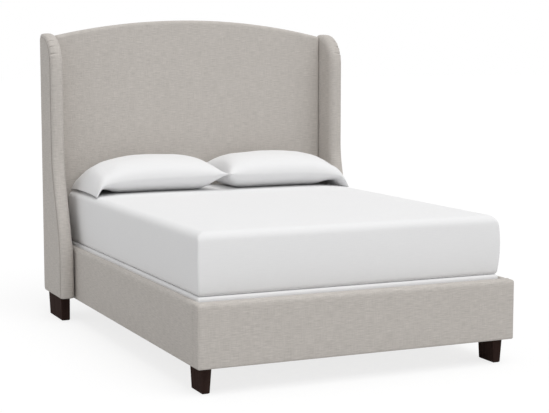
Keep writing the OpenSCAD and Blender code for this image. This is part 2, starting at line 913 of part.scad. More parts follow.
// Flanged nuts in the lower ends of the centre legs
module stem_nuts() {
  color(zinc) for (k = [1 : centre_legs_n])
    centre_leg_place(k) translate([0, 0, centre_leg_z - nut_flange_t]) difference() {
      union() {
        cylinder(r = nut_flange_r, h = nut_flange_t);
        cylinder(r = stem_r + nut_wall, h = nut_flange_t + nut_l);
      }
      translate([0, 0, -cut])
        cylinder(r = stem_r + bore_fit, h = nut_flange_t + nut_l + 2 * cut);
    }
}

module levelling_pad(k) {
  color(black_plastic) centre_leg_place(k) difference() {
    cylinder(r = pad_r, h = pad_t);
    translate([0, 0, pad_t - pad_socket]) cylinder(r = stem_r + bore_fit, h = pad_socket + cut);
  }
}

module levelling_stem(k) {
  color(zinc) centre_leg_place(k) translate([0, 0, pad_t - pad_socket + bore_fit])
    cylinder(r = stem_r, h = pad_socket + stem_l);
}

// Foundation

foundation_skin = foundation_cover_t + fit;
foundation_z0 = slat_z + foundation_skin;
foundation_pad_z = foundation_top_z - foundation_skin - foundation_pad_t;
foundation_board_z = foundation_pad_z - foundation_board_t;

// Form of the foundation, drawn in by inset
module foundation_form(inset) {
  base = slat_z + inset;
  rows = concat(
    [[foundation_foot_r + inset, base], [inset, base + foundation_foot_r]],
    edge_rows(foundation_edge_r - inset, inset, foundation_top_z - inset)
  );
  loft([for (row = rows)
    slab_ring(mattress_w, mattress_l, foundation_corner_r, row[0], row[1])]);
}

module foundation_cover() {
  color(white_cloth) difference() {
    foundation_form(0);
    foundation_form(foundation_cover_t);
  }
}

// Block with the foundation's plan, drawn in by inset
module foundation_slab(inset, z0, z1) {
  w = mattress_w - 2 * inset;
  l = mattress_l - 2 * inset;
  translate([0, mattress_y, z0]) linear_extrude(z1 - z0) difference() {
    square([w, l], center = true);
    for (a = [0, 1], b = [0, 1]) mirror([a, 0]) mirror([0, b])
      translate([-w / 2, -l / 2]) corner_off(max(foundation_corner_r - inset, fit));
  }
}

module foundation_pad() {
  color(felt)
    foundation_slab(foundation_edge_r, foundation_pad_z, foundation_pad_z + foundation_pad_t);
}

module foundation_slats() {
  end = mattress_l / 2 - foundation_corner_r - foundation_slat_w / 2;
  half = mattress_w / 2 - foundation_edge_r;
  color(pine) for (k = [0 : foundation_slats_n - 1])
    translate([-half, mattress_y + end * (2 * k / (foundation_slats_n - 1) - 1)
      - foundation_slat_w / 2, foundation_board_z])
      cube([2 * half, foundation_slat_w, foundation_board_t]);
}

// Frame of boards on edge with three joists
module foundation_frame() {
  outer = foundation_skin + foundation_play;
  inner = outer + foundation_board_t;
  color(pine) {
    difference() {
      foundation_slab(outer, foundation_z0, foundation_board_z);
      foundation_slab(inner, foundation_z0 - cut, foundation_board_z + cut);
    }
    for (side = [-1 : 1])
      translate([side * mattress_w / 4 - foundation_board_t / 2,
        mattress_y - mattress_l / 2 + inner - fit, foundation_z0])
        cube([foundation_board_t, mattress_l - 2 * (inner - fit),
          foundation_board_z - foundation_z0]);
  }
}

// Mattress

draw_steps = 4;

// Form of the mattress: drawn in below, rounded above and crowned, all drawn in by inset
module mattress_form(inset) {
  base = foundation_top_z + inset;
  edge_z = mattress_top_z - mattress_crown - inset;
  low_z = base + mattress_foot_r;
  flat = mattress_edge_r + mattress_crown_d;
  rows = concat(
    [[inset + mattress_draw_in + mattress_foot_r, base]],
    [for (k = [0 : draw_steps]) let (t = k / draw_steps)
      [inset + mattress_draw_in * (1 - smooth(t)), low_z + mattress_draw_h * t]],
    edge_rows(mattress_edge_r - inset, inset, edge_z),
    [for (t = [0.5, 1]) [mattress_edge_r + mattress_crown_d * t, edge_z + mattress_crown * smooth(t)]]
  );
  loft([for (row = rows) slab_ring(mattress_w, mattress_l, mattress_corner_r, row[0], row[1])]);
}

module mattress_cover() {
  color(white_cloth) difference() {
    mattress_form(0);
    mattress_form(mattress_cover_t);
  }
}

// Layer of the mattress's filling between two heights
module mattress_layer(z0, z1) {
  intersection() {
    mattress_form(mattress_cover_t + fit);
    translate([-mattress_w / 2, mattress_y - mattress_l / 2, z0])
      cube([mattress_w, mattress_l, z1 - z0]);
  }
}

core_z = foundation_top_z + mattress_cover_t + fit + base_foam_t;
comfort_z = mattress_top_z - mattress_cover_t - fit - comfort_t;

module mattress_base_foam() {
  color(foam_colour) mattress_layer(foundation_top_z, core_z);
}

module mattress_core() {
  color(core_colour) mattress_layer(core_z, comfort_z);
}

module mattress_comfort_foam() {
  color(foam_colour) mattress_layer(comfort_z, mattress_top_z);
}

// Pillows

// Stations along a pillow from its inner end. The crest is a share of the pillow's height, the
// seam and the underside are shares of its seam's height, and draw is how far its front and back
// edges are drawn in.
pillow_stations = [
  // [share of length, crest, seam, underside, draw]
  [0.000, 0.49, 1.09, 0.98, 0],
  [0.050, 0.76, 1.06, 0.42, 14],
  [0.100, 0.87, 1.03, 0.14, 22],
  [0.220, 0.96, 1.01, 0.00, 30],
  [0.450, 1.00, 1.00, 0.00, 34],
  [0.660, 0.97, 0.96, 0.00, 32],
  [0.800, 0.88, 0.86, 0.03, 25],
  [0.880, 0.75, 0.78, 0.22, 18],
  [0.940, 0.60, 0.64, 0.29, 11],
  [0.975, 0.40, 0.42, 0.19, 6],
  [1.000, 0.11, 0.10, 0.02, 3]
];
case_end = len(pillow_stations) - 1;
pillow_end = case_end - 2;
pillow_mid_y = head_y - pillow_back_gap - pillow_d / 2;
pillow_x0 = pillow_gap / 2;
pillow_steps = 8;

// Section of a pillow at a station, drawn in by skin: over the top and back underneath
function pillow_ring(station, skin) =
  let (
    half = pillow_d / 2 - station[4] - skin,
    seam = pillow_seam_h * station[2],
    up = pillow_h * station[1] - seam - skin,
    down = seam - pillow_seam_h * station[3] - skin,
    turn = 180 / pillow_steps
  )
  concat(
    [for (k = [0 : pillow_steps])
      [pillow_mid_y - half * cos(turn * k), pillow_z + seam + up * pow(sin(turn * k), 0.75)]],
    [for (k = [1 : pillow_steps - 1])
      [pillow_mid_y + half * cos(turn * k), pillow_z + seam - down * pow(sin(turn * k), 0.5)]]
  );

// Rings of the right pillow's form from its last station back to its first, drawn in by skin
function pillow_rings(first, last, skin) = [
  for (k = [last : -1 : first])
    stand(pillow_ring(pillow_stations[k], skin), pillow_x0 + pillow_l * pillow_stations[k][0])
];

module pillowcase() {
  hollow = pillow_rings(1, case_end, case_t);
  color(white_cloth) loft(concat(back_again(hollow), pillow_rings(0, case_end, 0)));
}

module pillow() {
  color(white_cloth) translate([fit, 0, 0])
    loft(pillow_rings(1, pillow_end, case_t + 3 * fit), true);
}

headboard_frame();
headboard_panel();
headboard_foam();
headboard_cover();
headboard_back_cloth();
mirror([1, 0, 0]) wing_board();  // left_wing_board
wing_board();  // right_wing_board
mirror([1, 0, 0]) wing_frame();  // left_wing_frame
wing_frame();  // right_wing_frame
mirror([1, 0, 0]) wing_foam();  // left_wing_foam
wing_foam();  // right_wing_foam
mirror([1, 0, 0]) wing_cover();  // left_wing_cover
wing_cover();  // right_wing_cover
mirror([1, 0, 0]) wing_side_panel();  // left_wing_side_panel
wing_side_panel();  // right_wing_side_panel
mirror([1, 0, 0]) rail_board();  // left_rail_board
rail_board();  // right_rail_board
foot_rail_board();
mirror([1, 0, 0]) rail_padding();  // left_rail_padding
rail_padding();  // right_rail_padding
foot_rail_padding();
mirror([1, 0, 0]) rail_cover();  // left_rail_cover
rail_cover();  // right_rail_cover
foot_rail_cover();
mirror([1, 0, 0]) front_leg();  // front_left_leg
front_leg();  // front_right_leg
mirror([1, 0, 0]) rear_leg();  // rear_left_leg
rear_leg();  // rear_right_leg
leg_pads();
leg_bolts();
corner_blocks();
corner_bolts();
wing_bolts();
rail_brackets();
bracket_screws();
cleats();
cleat_screws();
slats();
slat_screws();
centre_beam();
centre_legs();
stem_nuts();
levelling_pad(1);  // levelling_pad_1
levelling_pad(2);  // levelling_pad_2
levelling_pad(3);  // levelling_pad_3
levelling_stem(1);  // levelling_stem_1
levelling_stem(2);  // levelling_stem_2
levelling_stem(3);  // levelling_stem_3
foundation_frame();
foundation_slats();
foundation_pad();
foundation_cover();
mattress_base_foam();
mattress_core();
mattress_comfort_foam();
mattress_cover();
mirror([1, 0, 0]) pillow();  // left_pillow
pillow();  // right_pillow
mirror([1, 0, 0]) pillowcase();  // left_pillowcase
pillowcase();  // right_pillowcase
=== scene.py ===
import math

import bmesh
import bpy
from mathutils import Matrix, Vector, noise
from mathutils.bvhtree import BVHTree


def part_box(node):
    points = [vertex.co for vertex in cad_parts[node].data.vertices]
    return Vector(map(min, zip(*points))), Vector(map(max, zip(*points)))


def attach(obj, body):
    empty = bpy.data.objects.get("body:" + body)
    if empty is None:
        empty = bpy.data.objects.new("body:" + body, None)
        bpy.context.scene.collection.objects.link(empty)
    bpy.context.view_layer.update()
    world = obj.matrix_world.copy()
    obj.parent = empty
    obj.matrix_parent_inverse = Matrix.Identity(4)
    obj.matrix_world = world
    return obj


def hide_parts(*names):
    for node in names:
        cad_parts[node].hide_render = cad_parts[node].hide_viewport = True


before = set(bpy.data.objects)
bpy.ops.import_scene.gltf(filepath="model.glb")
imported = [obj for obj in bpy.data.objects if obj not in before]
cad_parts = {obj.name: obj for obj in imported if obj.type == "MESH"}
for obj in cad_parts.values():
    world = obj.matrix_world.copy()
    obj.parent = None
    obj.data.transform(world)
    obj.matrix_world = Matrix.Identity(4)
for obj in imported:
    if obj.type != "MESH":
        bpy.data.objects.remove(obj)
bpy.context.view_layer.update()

print("frame loaded")

# camera, placed where the photograph was taken from
camera = {
    "place": (-2.8622, -6.4655, 1.4764),
    "tilt": 83.5211,  # degrees up from looking straight down
    "turn": -24.2461,  # degrees from facing along Y
    "lens": 90.46,  # mm, on a sensor of this width
    "sensor": 36,
    "clipEnd": 200,
}
cameraData = bpy.data.cameras.new("photoCamera")
cameraData.lens = camera["lens"]
cameraData.sensor_width = camera["sensor"]
cameraData.clip_end = camera["clipEnd"]
photoCamera = bpy.data.objects.new("photoCamera", cameraData)
photoCamera.location = camera["place"]
photoCamera.rotation_euler = (math.radians(camera["tilt"]), 0, math.radians(camera["turn"]))
bpy.context.scene.collection.objects.link(photoCamera)
bpy.context.scene.camera = photoCamera
bpy.context.scene.view_settings.view_transform = "Standard"

# node helpers


def addNode(tree, kind, feeds=None, **values):
    # a node with its settings, its plain values and what feeds it
    node = tree.nodes.new(kind)
    for key, value in values.items():
        if key in node.inputs.keys():
            node.inputs[key].default_value = value
        else:
            setattr(node, key, value)
    for key, source in (feeds or {}).items():
        tree.links.new(source, node.inputs[key])
    return node


def addMath(tree, operation, first, second=None):
    node = tree.nodes.new("ShaderNodeMath")
    node.operation = operation
    for socket, value in zip(node.inputs, (first, second)):
        if value is None:
            continue
        if isinstance(value, (int, float)):
            socket.default_value = value
        else:
            tree.links.new(value, socket)
    return node.outputs[0]


def mixColours(tree, factor, first, second):
    node = tree.nodes.new("ShaderNodeMix")
    node.data_type = "RGBA"
    for socket, value in zip((node.inputs[0], node.inputs[6], node.inputs[7]), (factor, first, second)):
        if isinstance(value, (int, float, tuple)):
            socket.default_value = value
        else:
            tree.links.new(value, socket)
    return node.outputs[2]


def newGroup(name, inputs, outputs):
    # inputs and outputs are name: default, and the default's kind gives the socket's kind
    tree = bpy.data.node_groups.new(name, "ShaderNodeTree")
    for side, sockets in (("INPUT", inputs), ("OUTPUT", outputs)):
        for key, value in sockets.items():
            kind = "NodeSocketFloat"
            if value == "vector":
                kind = "NodeSocketVector"
            elif isinstance(value, tuple):
                kind = "NodeSocketColor"
            socket = tree.interface.new_socket(name=key, in_out=side, socket_type=kind)
            if side == "INPUT" and value != "vector":
                socket.default_value = value
    return tree, tree.nodes.new("NodeGroupInput").outputs, tree.nodes.new("NodeGroupOutput").inputs


def colourOf(red, green, blue):
    # screen colour, 0 to 255, as the linear colour that a node takes
    def linear(value):
        value /= 255
        return value / 12.92 if value <= 0.04045 else ((value + 0.055) / 1.055) ** 2.4
    return (linear(red), linear(green), linear(blue), 1)


def stretched(tree, vector, x, y, z=1.0):
    node = tree.nodes.new("ShaderNodeVectorMath")
    node.operation = "MULTIPLY"
    tree.links.new(vector, node.inputs[0])
    node.inputs[1].default_value = (x, y, z)
    return node.outputs[0]


def noiseOf(tree, vector, detail, roughness):
    node = addNode(tree, "ShaderNodeTexNoise", {"Vector": vector}, Scale=1.0, Detail=detail,
                   Roughness=roughness)
    return node.outputs["Fac"]


def spreadOf(tree, value, low, high):
    # 0 below low, 1 above high
    node = addNode(tree, "ShaderNodeMapRange", {"Value": value})
    node.inputs["From Min"].default_value = low
    node.inputs["From Max"].default_value = high
    return node.outputs[0]


# shared effects

# plain weave with slubs along the weft, on a map in metres
weave, weaveIn, weaveOut = newGroup(
    "slubWeave",
    {"Vector": "vector", "Light": (1, 1, 1, 1), "Dark": (0, 0, 0, 1), "Slubs": 0.5, "Threads": 620.0},
    {"Color": (1, 1, 1, 1), "Height": 0.0, "Roughness": 0.0},
)
# repeats in a metre along and across, detail and roughness of the noise, where it is cut, and share
weaveParts = [
    ((20, 330), 3, 0.6, (0.36, 0.66), 0.42),  # slubs of the weft
    ((34, 520), 2, 0.6, (0.3, 0.7), 0.24),  # finer slubs
    ((300, 16), 2, 0.6, (0.3, 0.7), 0.22),  # warp
    ((5, 9), 2, 0.5, (0, 1), 0.12),  # mottling
]
weaveShares = {
    "crossingShade": 0.06,  # of the crossing threads in the colour
    "crossingHeight": 0.25,  # and in the height
    "roughness": 0.8,
    "streakRoughness": 0.1,
}
streaks = 0.0
for scale, detail, roughness, cut, share in weaveParts:
    part = noiseOf(weave, stretched(weave, weaveIn["Vector"], *scale), detail, roughness)
    part = spreadOf(weave, part, *cut)
    streaks = addMath(weave, "ADD", streaks, addMath(weave, "MULTIPLY", part, share))
threadMap = addNode(weave, "ShaderNodeSeparateXYZ", {"Vector": weaveIn["Vector"]}).outputs
threads = []
for axis in (0, 1):
    turns = addMath(weave, "MULTIPLY", threadMap[axis], weaveIn["Threads"])
    threads.append(addMath(weave, "SINE", addMath(weave, "MULTIPLY", turns, math.tau)))
crossing = addMath(weave, "MULTIPLY", *threads)
shade = addMath(weave, "ADD", addMath(weave, "MULTIPLY", addMath(
    weave, "SUBTRACT", streaks, 0.5), weaveIn["Slubs"]), 0.5)
shade = addMath(weave, "ADD", shade, addMath(weave, "MULTIPLY", crossing, weaveShares["crossingShade"]))
weave.links.new(mixColours(weave, shade, weaveIn["Dark"], weaveIn["Light"]), weaveOut["Color"])
weave.links.new(addMath(weave, "ADD", addMath(
    weave, "MULTIPLY", crossing, weaveShares["crossingHeight"]), streaks), weaveOut["Height"])
weave.links.new(addMath(weave, "ADD", addMath(
    weave, "MULTIPLY", streaks, weaveShares["streakRoughness"]), weaveShares["roughness"]),
    weaveOut["Roughness"])

# grain of sawn or stained wood, running along X of the vector
grain, grainIn, grainOut = newGroup(
    "woodGrain",
    {"Vector": "vector", "Light": (1, 1, 1, 1), "Dark": (0, 0, 0, 1), "Pores": 0.3, "Rings": 18.0},
    {"Color": (1, 1, 1, 1), "Height": 0.0, "Roughness": 0.0},
)
grainLook = {
    "rings": (0.7, 9, 9),  # stretch of each pattern, along and across the grain
    "wander": (1.6, 9, 9),
    "fibre": (12, 420, 420),
    "pores": (30, 900, 900),
    "poreCut": (0.62, 0.72),
    "ringScale": 0.06,
    "ringBend": 2.5,
    "shares": (0.5, 0.5),  # of rings and fibre in the colour
    "roughness": (0.2, 0.12),  # of pores and fibre
}
wander = noiseOf(grain, stretched(grain, grainIn["Vector"], *grainLook["wander"]), 3, 0.5)
ringVector = addNode(grain, "ShaderNodeVectorMath", {
    0: stretched(grain, grainIn["Vector"], *grainLook["rings"])}, operation="ADD")
grain.links.new(wander, ringVector.inputs[1])
rings = addNode(grain, "ShaderNodeTexWave", {"Vector": ringVector.outputs[0]}, wave_type="RINGS",
                rings_direction="X", Distortion=grainLook["ringBend"], Detail=2.0)
grain.links.new(addMath(grain, "MULTIPLY", grainIn["Rings"], grainLook["ringScale"]), rings.inputs["Scale"])
fibre = noiseOf(grain, stretched(grain, grainIn["Vector"], *grainLook["fibre"]), 3, 0.6)
pore = noiseOf(grain, stretched(grain, grainIn["Vector"], *grainLook["pores"]), 1, 0.5)
pore = spreadOf(grain, pore, *grainLook["poreCut"])
woodShade = addMath(grain, "ADD", addMath(grain, "MULTIPLY", rings.outputs["Fac"], grainLook["shares"][0]),
                    addMath(grain, "MULTIPLY", fibre, grainLook["shares"][1]))
woodShade = addMath(grain, "SUBTRACT", woodShade, addMath(grain, "MULTIPLY", pore, grainIn["Pores"]))
grain.links.new(mixColours(grain, woodShade, grainIn["Dark"], grainIn["Light"]), grainOut["Color"])
grain.links.new(woodShade, grainOut["Height"])
grain.links.new(addMath(grain, "ADD", addMath(grain, "MULTIPLY", pore, grainLook["roughness"][0]), addMath(
    grain, "MULTIPLY", fibre, grainLook["roughness"][1])), grainOut["Roughness"])

# fine grain of foam, felt, plastic and metal
speck, speckIn, speckOut = newGroup(
    "fineGrain",
    {"Vector": "vector", "Light": (1, 1, 1, 1), "Dark": (0, 0, 0, 1), "Size": 400.0, "Patches": 0.3},
    {"Color": (1, 1, 1, 1), "Height": 0.0},
)
cells = addNode(speck, "ShaderNodeTexNoise", {"Vector": speckIn["Vector"], "Scale": speckIn["Size"]},
                Detail=3.0)
patches = addNode(speck, "ShaderNodeTexNoise", {"Vector": speckIn["Vector"]}, Scale=9.0, Detail=2.0)
speckShade = addMath(speck, "ADD", cells.outputs["Fac"], addMath(speck, "MULTIPLY", addMath(
    speck, "SUBTRACT", patches.outputs["Fac"], 0.5), speckIn["Patches"]))
speck.links.new(mixColours(speck, speckShade, speckIn["Dark"], speckIn["Light"]), speckOut["Color"])
speck.links.new(cells.outputs["Fac"], speckOut["Height"])


def newMaterial(name, roughness, metallic=0.0, specular=0.5):
    material = bpy.data.materials.new(name)
    material.use_nodes = True
    shader = material.node_tree.nodes["Principled BSDF"]
    shader.inputs["Roughness"].default_value = roughness
    shader.inputs["Metallic"].default_value = metallic
    shader.inputs["Specular IOR Level"].default_value = specular
    return material, material.node_tree, shader


def useGroup(tree, group, vector, **values):
    node = tree.nodes.new("ShaderNodeGroup")
    node.node_tree = group
    tree.links.new(vector, node.inputs["Vector"])
    for key, value in values.items():
        node.inputs[key].default_value = value
    return node.outputs


def addBump(tree, shader, height, distance):
    bump = addNode(tree, "ShaderNodeBump", {"Height": height}, Distance=distance)
    tree.links.new(bump.outputs["Normal"], shader.inputs["Normal"])


def clothMaterial(name, light, dark, slubs, threads, bump, sheen):
    material, tree, shader = newMaterial(name, 0.85, specular=0.25)
    spread = addNode(tree, "ShaderNodeUVMap", uv_map="cloth").outputs["UV"]
    cloth = useGroup(tree, weave, spread, Light=colourOf(*light), Dark=colourOf(*dark), Slubs=slubs,
                     Threads=threads)
    tree.links.new(cloth["Color"], shader.inputs["Base Color"])
    tree.links.new(cloth["Roughness"], shader.inputs["Roughness"])
    shader.inputs["Sheen Weight"].default_value = sheen
    shader.inputs["Sheen Roughness"].default_value = 0.5
    addBump(tree, shader, cloth["Height"], bump)
    return material


def woodMaterial(name, light, dark, turn, rings, pores, roughness, bump, specular=0.2):
    # turn lays the grain, which runs along X, along the piece
    material, tree, shader = newMaterial(name, roughness, specular=specular)
    spot = addNode(tree, "ShaderNodeTexCoord").outputs["Object"]
    mapping = addNode(tree, "ShaderNodeMapping", {"Vector": spot}, Rotation=turn)
    wood = useGroup(tree, grain, mapping.outputs[0], Light=colourOf(*light), Dark=colourOf(*dark),
                    Rings=rings, Pores=pores)
    tree.links.new(wood["Color"], shader.inputs["Base Color"])
    tree.links.new(addMath(tree, "ADD", wood["Roughness"], roughness), shader.inputs["Roughness"])
    addBump(tree, shader, wood["Height"], bump)
    return material


def grainMaterial(name, light, dark, size, patches, roughness, bump, metallic=0.0):
    material, tree, shader = newMaterial(name, roughness, metallic)
    spot = addNode(tree, "ShaderNodeTexCoord").outputs["Object"]
    fine = useGroup(tree, speck, spot, Light=colourOf(*light), Dark=colourOf(*dark), Size=size,
                    Patches=patches)
    tree.links.new(fine["Color"], shader.inputs["Base Color"])
    addBump(tree, shader, fine["Height"], bump)
    return material


quarter = math.pi / 2
alongX, alongY, alongZ = (0, 0, 0), (0, 0, quarter), (0, quarter, 0)
palePine, darkPine = (222, 190, 140), (196, 156, 104)

# light and dark colour, strength of the slubs, threads in a metre, bump in metres and sheen
linen = clothMaterial("naturalLinen", (214, 208, 202), (182, 177, 171), 1.35, 620, 0.0006, 0.08)
whiteTicking = clothMaterial("whiteTicking", (243, 243, 243), (234, 234, 235), 0.6, 900, 0.00025, 0.0)
whiteCotton = clothMaterial("whiteCotton", (240, 240, 240), (234, 234, 235), 0.5, 1100, 0.00015, 0.0)
pillowTicking = clothMaterial("pillowTicking", (240, 240, 238), (230, 230, 229), 0.4, 900, 0.0002, 0.0)
dustCloth = clothMaterial("dustCloth", (92, 90, 88), (66, 65, 64), 0.5, 700, 0.0003, 0.0)
# light and dark colour, way of the grain, rings, pores, roughness and bump
espresso = woodMaterial("espressoWood", (61, 48, 44), (50, 37, 34), alongZ, 22, 0.15, 0.6, 0.00012, 0.01)
pineAcross = woodMaterial("pineAcross", palePine, darkPine, alongX, 18, 0.12, 0.55, 0.0002)
pineAlong = woodMaterial("pineAlong", palePine, darkPine, alongY, 18, 0.12, 0.55, 0.0002)
pineUp = woodMaterial("pineUp", palePine, darkPine, alongZ, 18, 0.12, 0.55, 0.0002)
plywood = woodMaterial("plywood", (214, 180, 130), (186, 148, 100), alongZ, 10, 0.2, 0.6, 0.0002)
# light and dark colour, specks in a metre, strength of the patches, roughness and bump
paleFoam = grainMaterial("paleFoam", (240, 232, 208), (222, 212, 184), 700, 0.3, 0.95, 0.0004)
coreFoam = grainMaterial("coreFoam", (224, 230, 238), (204, 212, 224), 700, 0.3, 0.95, 0.0004)
feltPad = grainMaterial("greyFelt", (128, 125, 120), (92, 90, 86), 900, 0.5, 0.97, 0.0005)
zincSteel = grainMaterial("zincSteel", (196, 199, 204), (170, 173, 178), 260, 0.6, 0.34, 0.00004, 1.0)
blackPlastic = grainMaterial("blackPlastic", (26, 26, 27), (18, 18, 19), 1200, 0.3, 0.48, 0.00008)
print("materials made")

# what each CAD node is made of
nodeFinish = {
    espresso: ["front_left_leg", "front_right_leg", "rear_left_leg", "rear_right_leg"],
    pineAcross: ["slats", "foundation_slats", "foot_rail_board", "headboard_frame"],
    pineAlong: ["left_rail_board", "right_rail_board", "cleats", "centre_beam", "foundation_frame"],
    pineUp: ["left_wing_frame", "right_wing_frame", "corner_blocks", "centre_legs"],
    plywood: ["headboard_panel", "left_wing_board", "right_wing_board"],
    paleFoam: ["headboard_foam", "left_wing_foam", "right_wing_foam", "left_rail_padding",
               "right_rail_padding", "foot_rail_padding", "mattress_base_foam", "mattress_comfort_foam"],
    coreFoam: ["mattress_core"],
    feltPad: ["leg_pads", "foundation_pad"],
    zincSteel: ["leg_bolts", "corner_bolts", "wing_bolts", "rail_brackets", "bracket_screws",
                "cleat_screws", "slat_screws", "stem_nuts", "levelling_stem_1", "levelling_stem_2",
                "levelling_stem_3"],
    blackPlastic: ["levelling_pad_1", "levelling_pad_2", "levelling_pad_3"],
    linen: ["headboard_cover", "left_wing_cover", "right_wing_cover", "left_wing_side_panel",
            "right_wing_side_panel", "left_rail_cover", "right_rail_cover", "foot_rail_cover"],
    dustCloth: ["headboard_back_cloth"],
    whiteTicking: ["foundation_cover", "mattress_cover"],
    pillowTicking: ["left_pillow", "right_pillow"],
    whiteCotton: ["left_pillowcase", "right_pillowcase"],
}
for finish, names in nodeFinish.items():
    for name in names:
        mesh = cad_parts[name].data
        mesh.materials.clear()
        mesh.materials.append(finish)

# cloth helpers


def smoothStep(value):
    value = min(1, max(0, value))
    return value * value * (3 - 2 * value)


def spreadCloth(bm):
    # maps every face in metres on the axes that it faces least
    layer = bm.loops.layers.uv.new("cloth")
    bm.normal_update()
    for face in bm.faces:
        reach = [abs(part) for part in face.normal]
        for loop in face.loops:
            x, y, z = loop.vert.co
            if reach[2] >= max(reach[0], reach[1]):
                loop[layer].uv = (x, y)
            elif reach[1] >= reach[0]:
                loop[layer].uv = (x, z)
            else:
                loop[layer].uv = (y, z)


def finishPiece(name, bm, body, material, replaced):
    spreadCloth(bm)
    mesh = bpy.data.meshes.new(name)
    bm.to_mesh(mesh)
    bm.free()
    for face in mesh.polygons:
        face.use_smooth = True
    piece = bpy.data.objects.new(name, mesh)
    bpy.context.scene.collection.objects.link(piece)
    mesh.materials.append(material)
    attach(piece, body)
    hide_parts(*replaced)
    return piece


def cellBlock(low, high, cells, even):
    # block cut into cells that get narrower towards its edges: even is 1 for equal cells
    bm = bmesh.new()
    bmesh.ops.create_cube(bm, size=1)
    for axis in range(3):
        along = [edge for edge in bm.edges if abs(edge.verts[0].co[axis] - edge.verts[1].co[axis]) > 0.5]
        bmesh.ops.subdivide_edges(bm, edges=along, cuts=cells[axis] - 1, use_grid_fill=True)
    for vert in bm.verts:
        for axis in range(3):
            share = vert.co[axis] + 0.5
            share = even * share + (1 - even) * (0.5 - 0.5 * math.cos(math.pi * share))
            vert.co[axis] = low[axis] + share * (high[axis] - low[axis])
    return bm


def rollOver(distance, height, radius):
    # rolls the edge between a side, distance 0, and a face, height 0: both are measured inwards
    if radius <= 0 or distance >= radius or height >= radius:
        return distance, height
    across, down = radius - distance, radius - height
    length = math.hypot(across, down) or 1
    return radius - across * radius / length, radius - down * radius / length


def softBlock(low, high, cells, corners, edges, feet, even):
    # edges(x, y) and feet(x, y) give the radii round a point of the plan, measured from its middle;
    # corners(x, y, depth) also takes how far the point is under the top
    bm = cellBlock(low, high, cells, even)
    middle = ((low[0] + high[0]) / 2, (low[1] + high[1]) / 2)
    half = ((high[0] - low[0]) / 2, (high[1] - low[1]) / 2)
    for vert in bm.verts:
        x, y = vert.co.x - middle[0], vert.co.y - middle[1]
        radius = corners(x, y, high[2] - vert.co.z)
        ax, ay = abs(x) - (half[0] - radius), abs(y) - (half[1] - radius)
        if ax > 0 and ay > 0:
            reach, length = max(ax, ay), math.hypot(ax, ay)
            ax, ay = ax * reach / length, ay * reach / length
            distance = radius - reach
            outward = (math.copysign(ax / reach, x), math.copysign(ay / reach, y))
            x = math.copysign(half[0] - radius + ax, x)
            y = math.copysign(half[1] - radius + ay, y)
        elif half[0] - abs(x) < half[1] - abs(y):
            distance, outward = half[0] - abs(x), (math.copysign(1, x), 0)
        else:
            distance, outward = half[1] - abs(y), (0, math.copysign(1, y))
        z = vert.co.z
        new, drop = rollOver(distance, high[2] - z, edges(x, y))
        z = high[2] - drop
        new, rise = rollOver(new, z - low[2], feet(x, y))
        z = low[2] + rise
        x -= outward[0] * (new - distance)
        y -= outward[1] * (new - distance)
        vert.co = (x + middle[0], y + middle[1], z)
    return bm


# headboard
headboard = {
    "rise": 0.091,  # of the arch between the wings and the crown
    "topRoll": 0.020,
    "sideRoll": 0.012,
    "footRoll": 0.006,
    "rollRows": 6,
    "crown": 0.003,  # how far the padding stands proud in the middle
    "fullness": (4, 6),  # powers of the crown across and up: more for a flatter middle
    "ripple": 0.0011,
    "crowding": 0.4,  # of the columns and rows towards the edges
    "columns": 96,
    "rows": 84,
    # share of the depth, or None for the plywood's face, and how far the cloth lies inside there
    "backRows": ((0.4, 0), (1, 0), (1, 0.001), (None, 0.001), (None, 0.03)),
}
headLow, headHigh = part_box("headboard_cover")
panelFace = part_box("headboard_panel")[0].y
headHalf = headHigh.x
archRadius = (headHalf ** 2 + headboard["rise"] ** 2) / (2 * headboard["rise"])
archMiddle = headHigh.z - archRadius


def archPlace(across, up, sideIn, topIn, footIn):
    # across from -1 to 1 and up from 0 to 1 under the arch, drawn in on each side
    x = across * (headHalf - sideIn)
    top = archMiddle + math.sqrt((archRadius - topIn) ** 2 - x * x)
    foot = headLow.z + footIn
    return x, foot + up * (top - foot)


def openEdges(bm):
    return [edge for edge in bm.edges if len(edge.link_faces) < 2]


def ringRows(bm, rim, count, place):
    # grows a rim row by row, each point to where place puts it, and gives the last row's edges
    for row in range(count):
        grown = bmesh.ops.extrude_edge_only(bm, edges=rim)["geom"]
        fresh = {part for part in grown if isinstance(part, bmesh.types.BMVert)}
        rim = [part for part in grown if isinstance(part, bmesh.types.BMEdge)
               and part.verts[0] in fresh and part.verts[1] in fresh]
        for vert in fresh:
            vert.co = place(vert, row)
    return rim


def closeRim(bm, rim):
    bmesh.ops.holes_fill(bm, edges=rim, sides=0)
    bmesh.ops.triangulate(bm, faces=[face for face in bm.faces if len(face.verts) > 4])


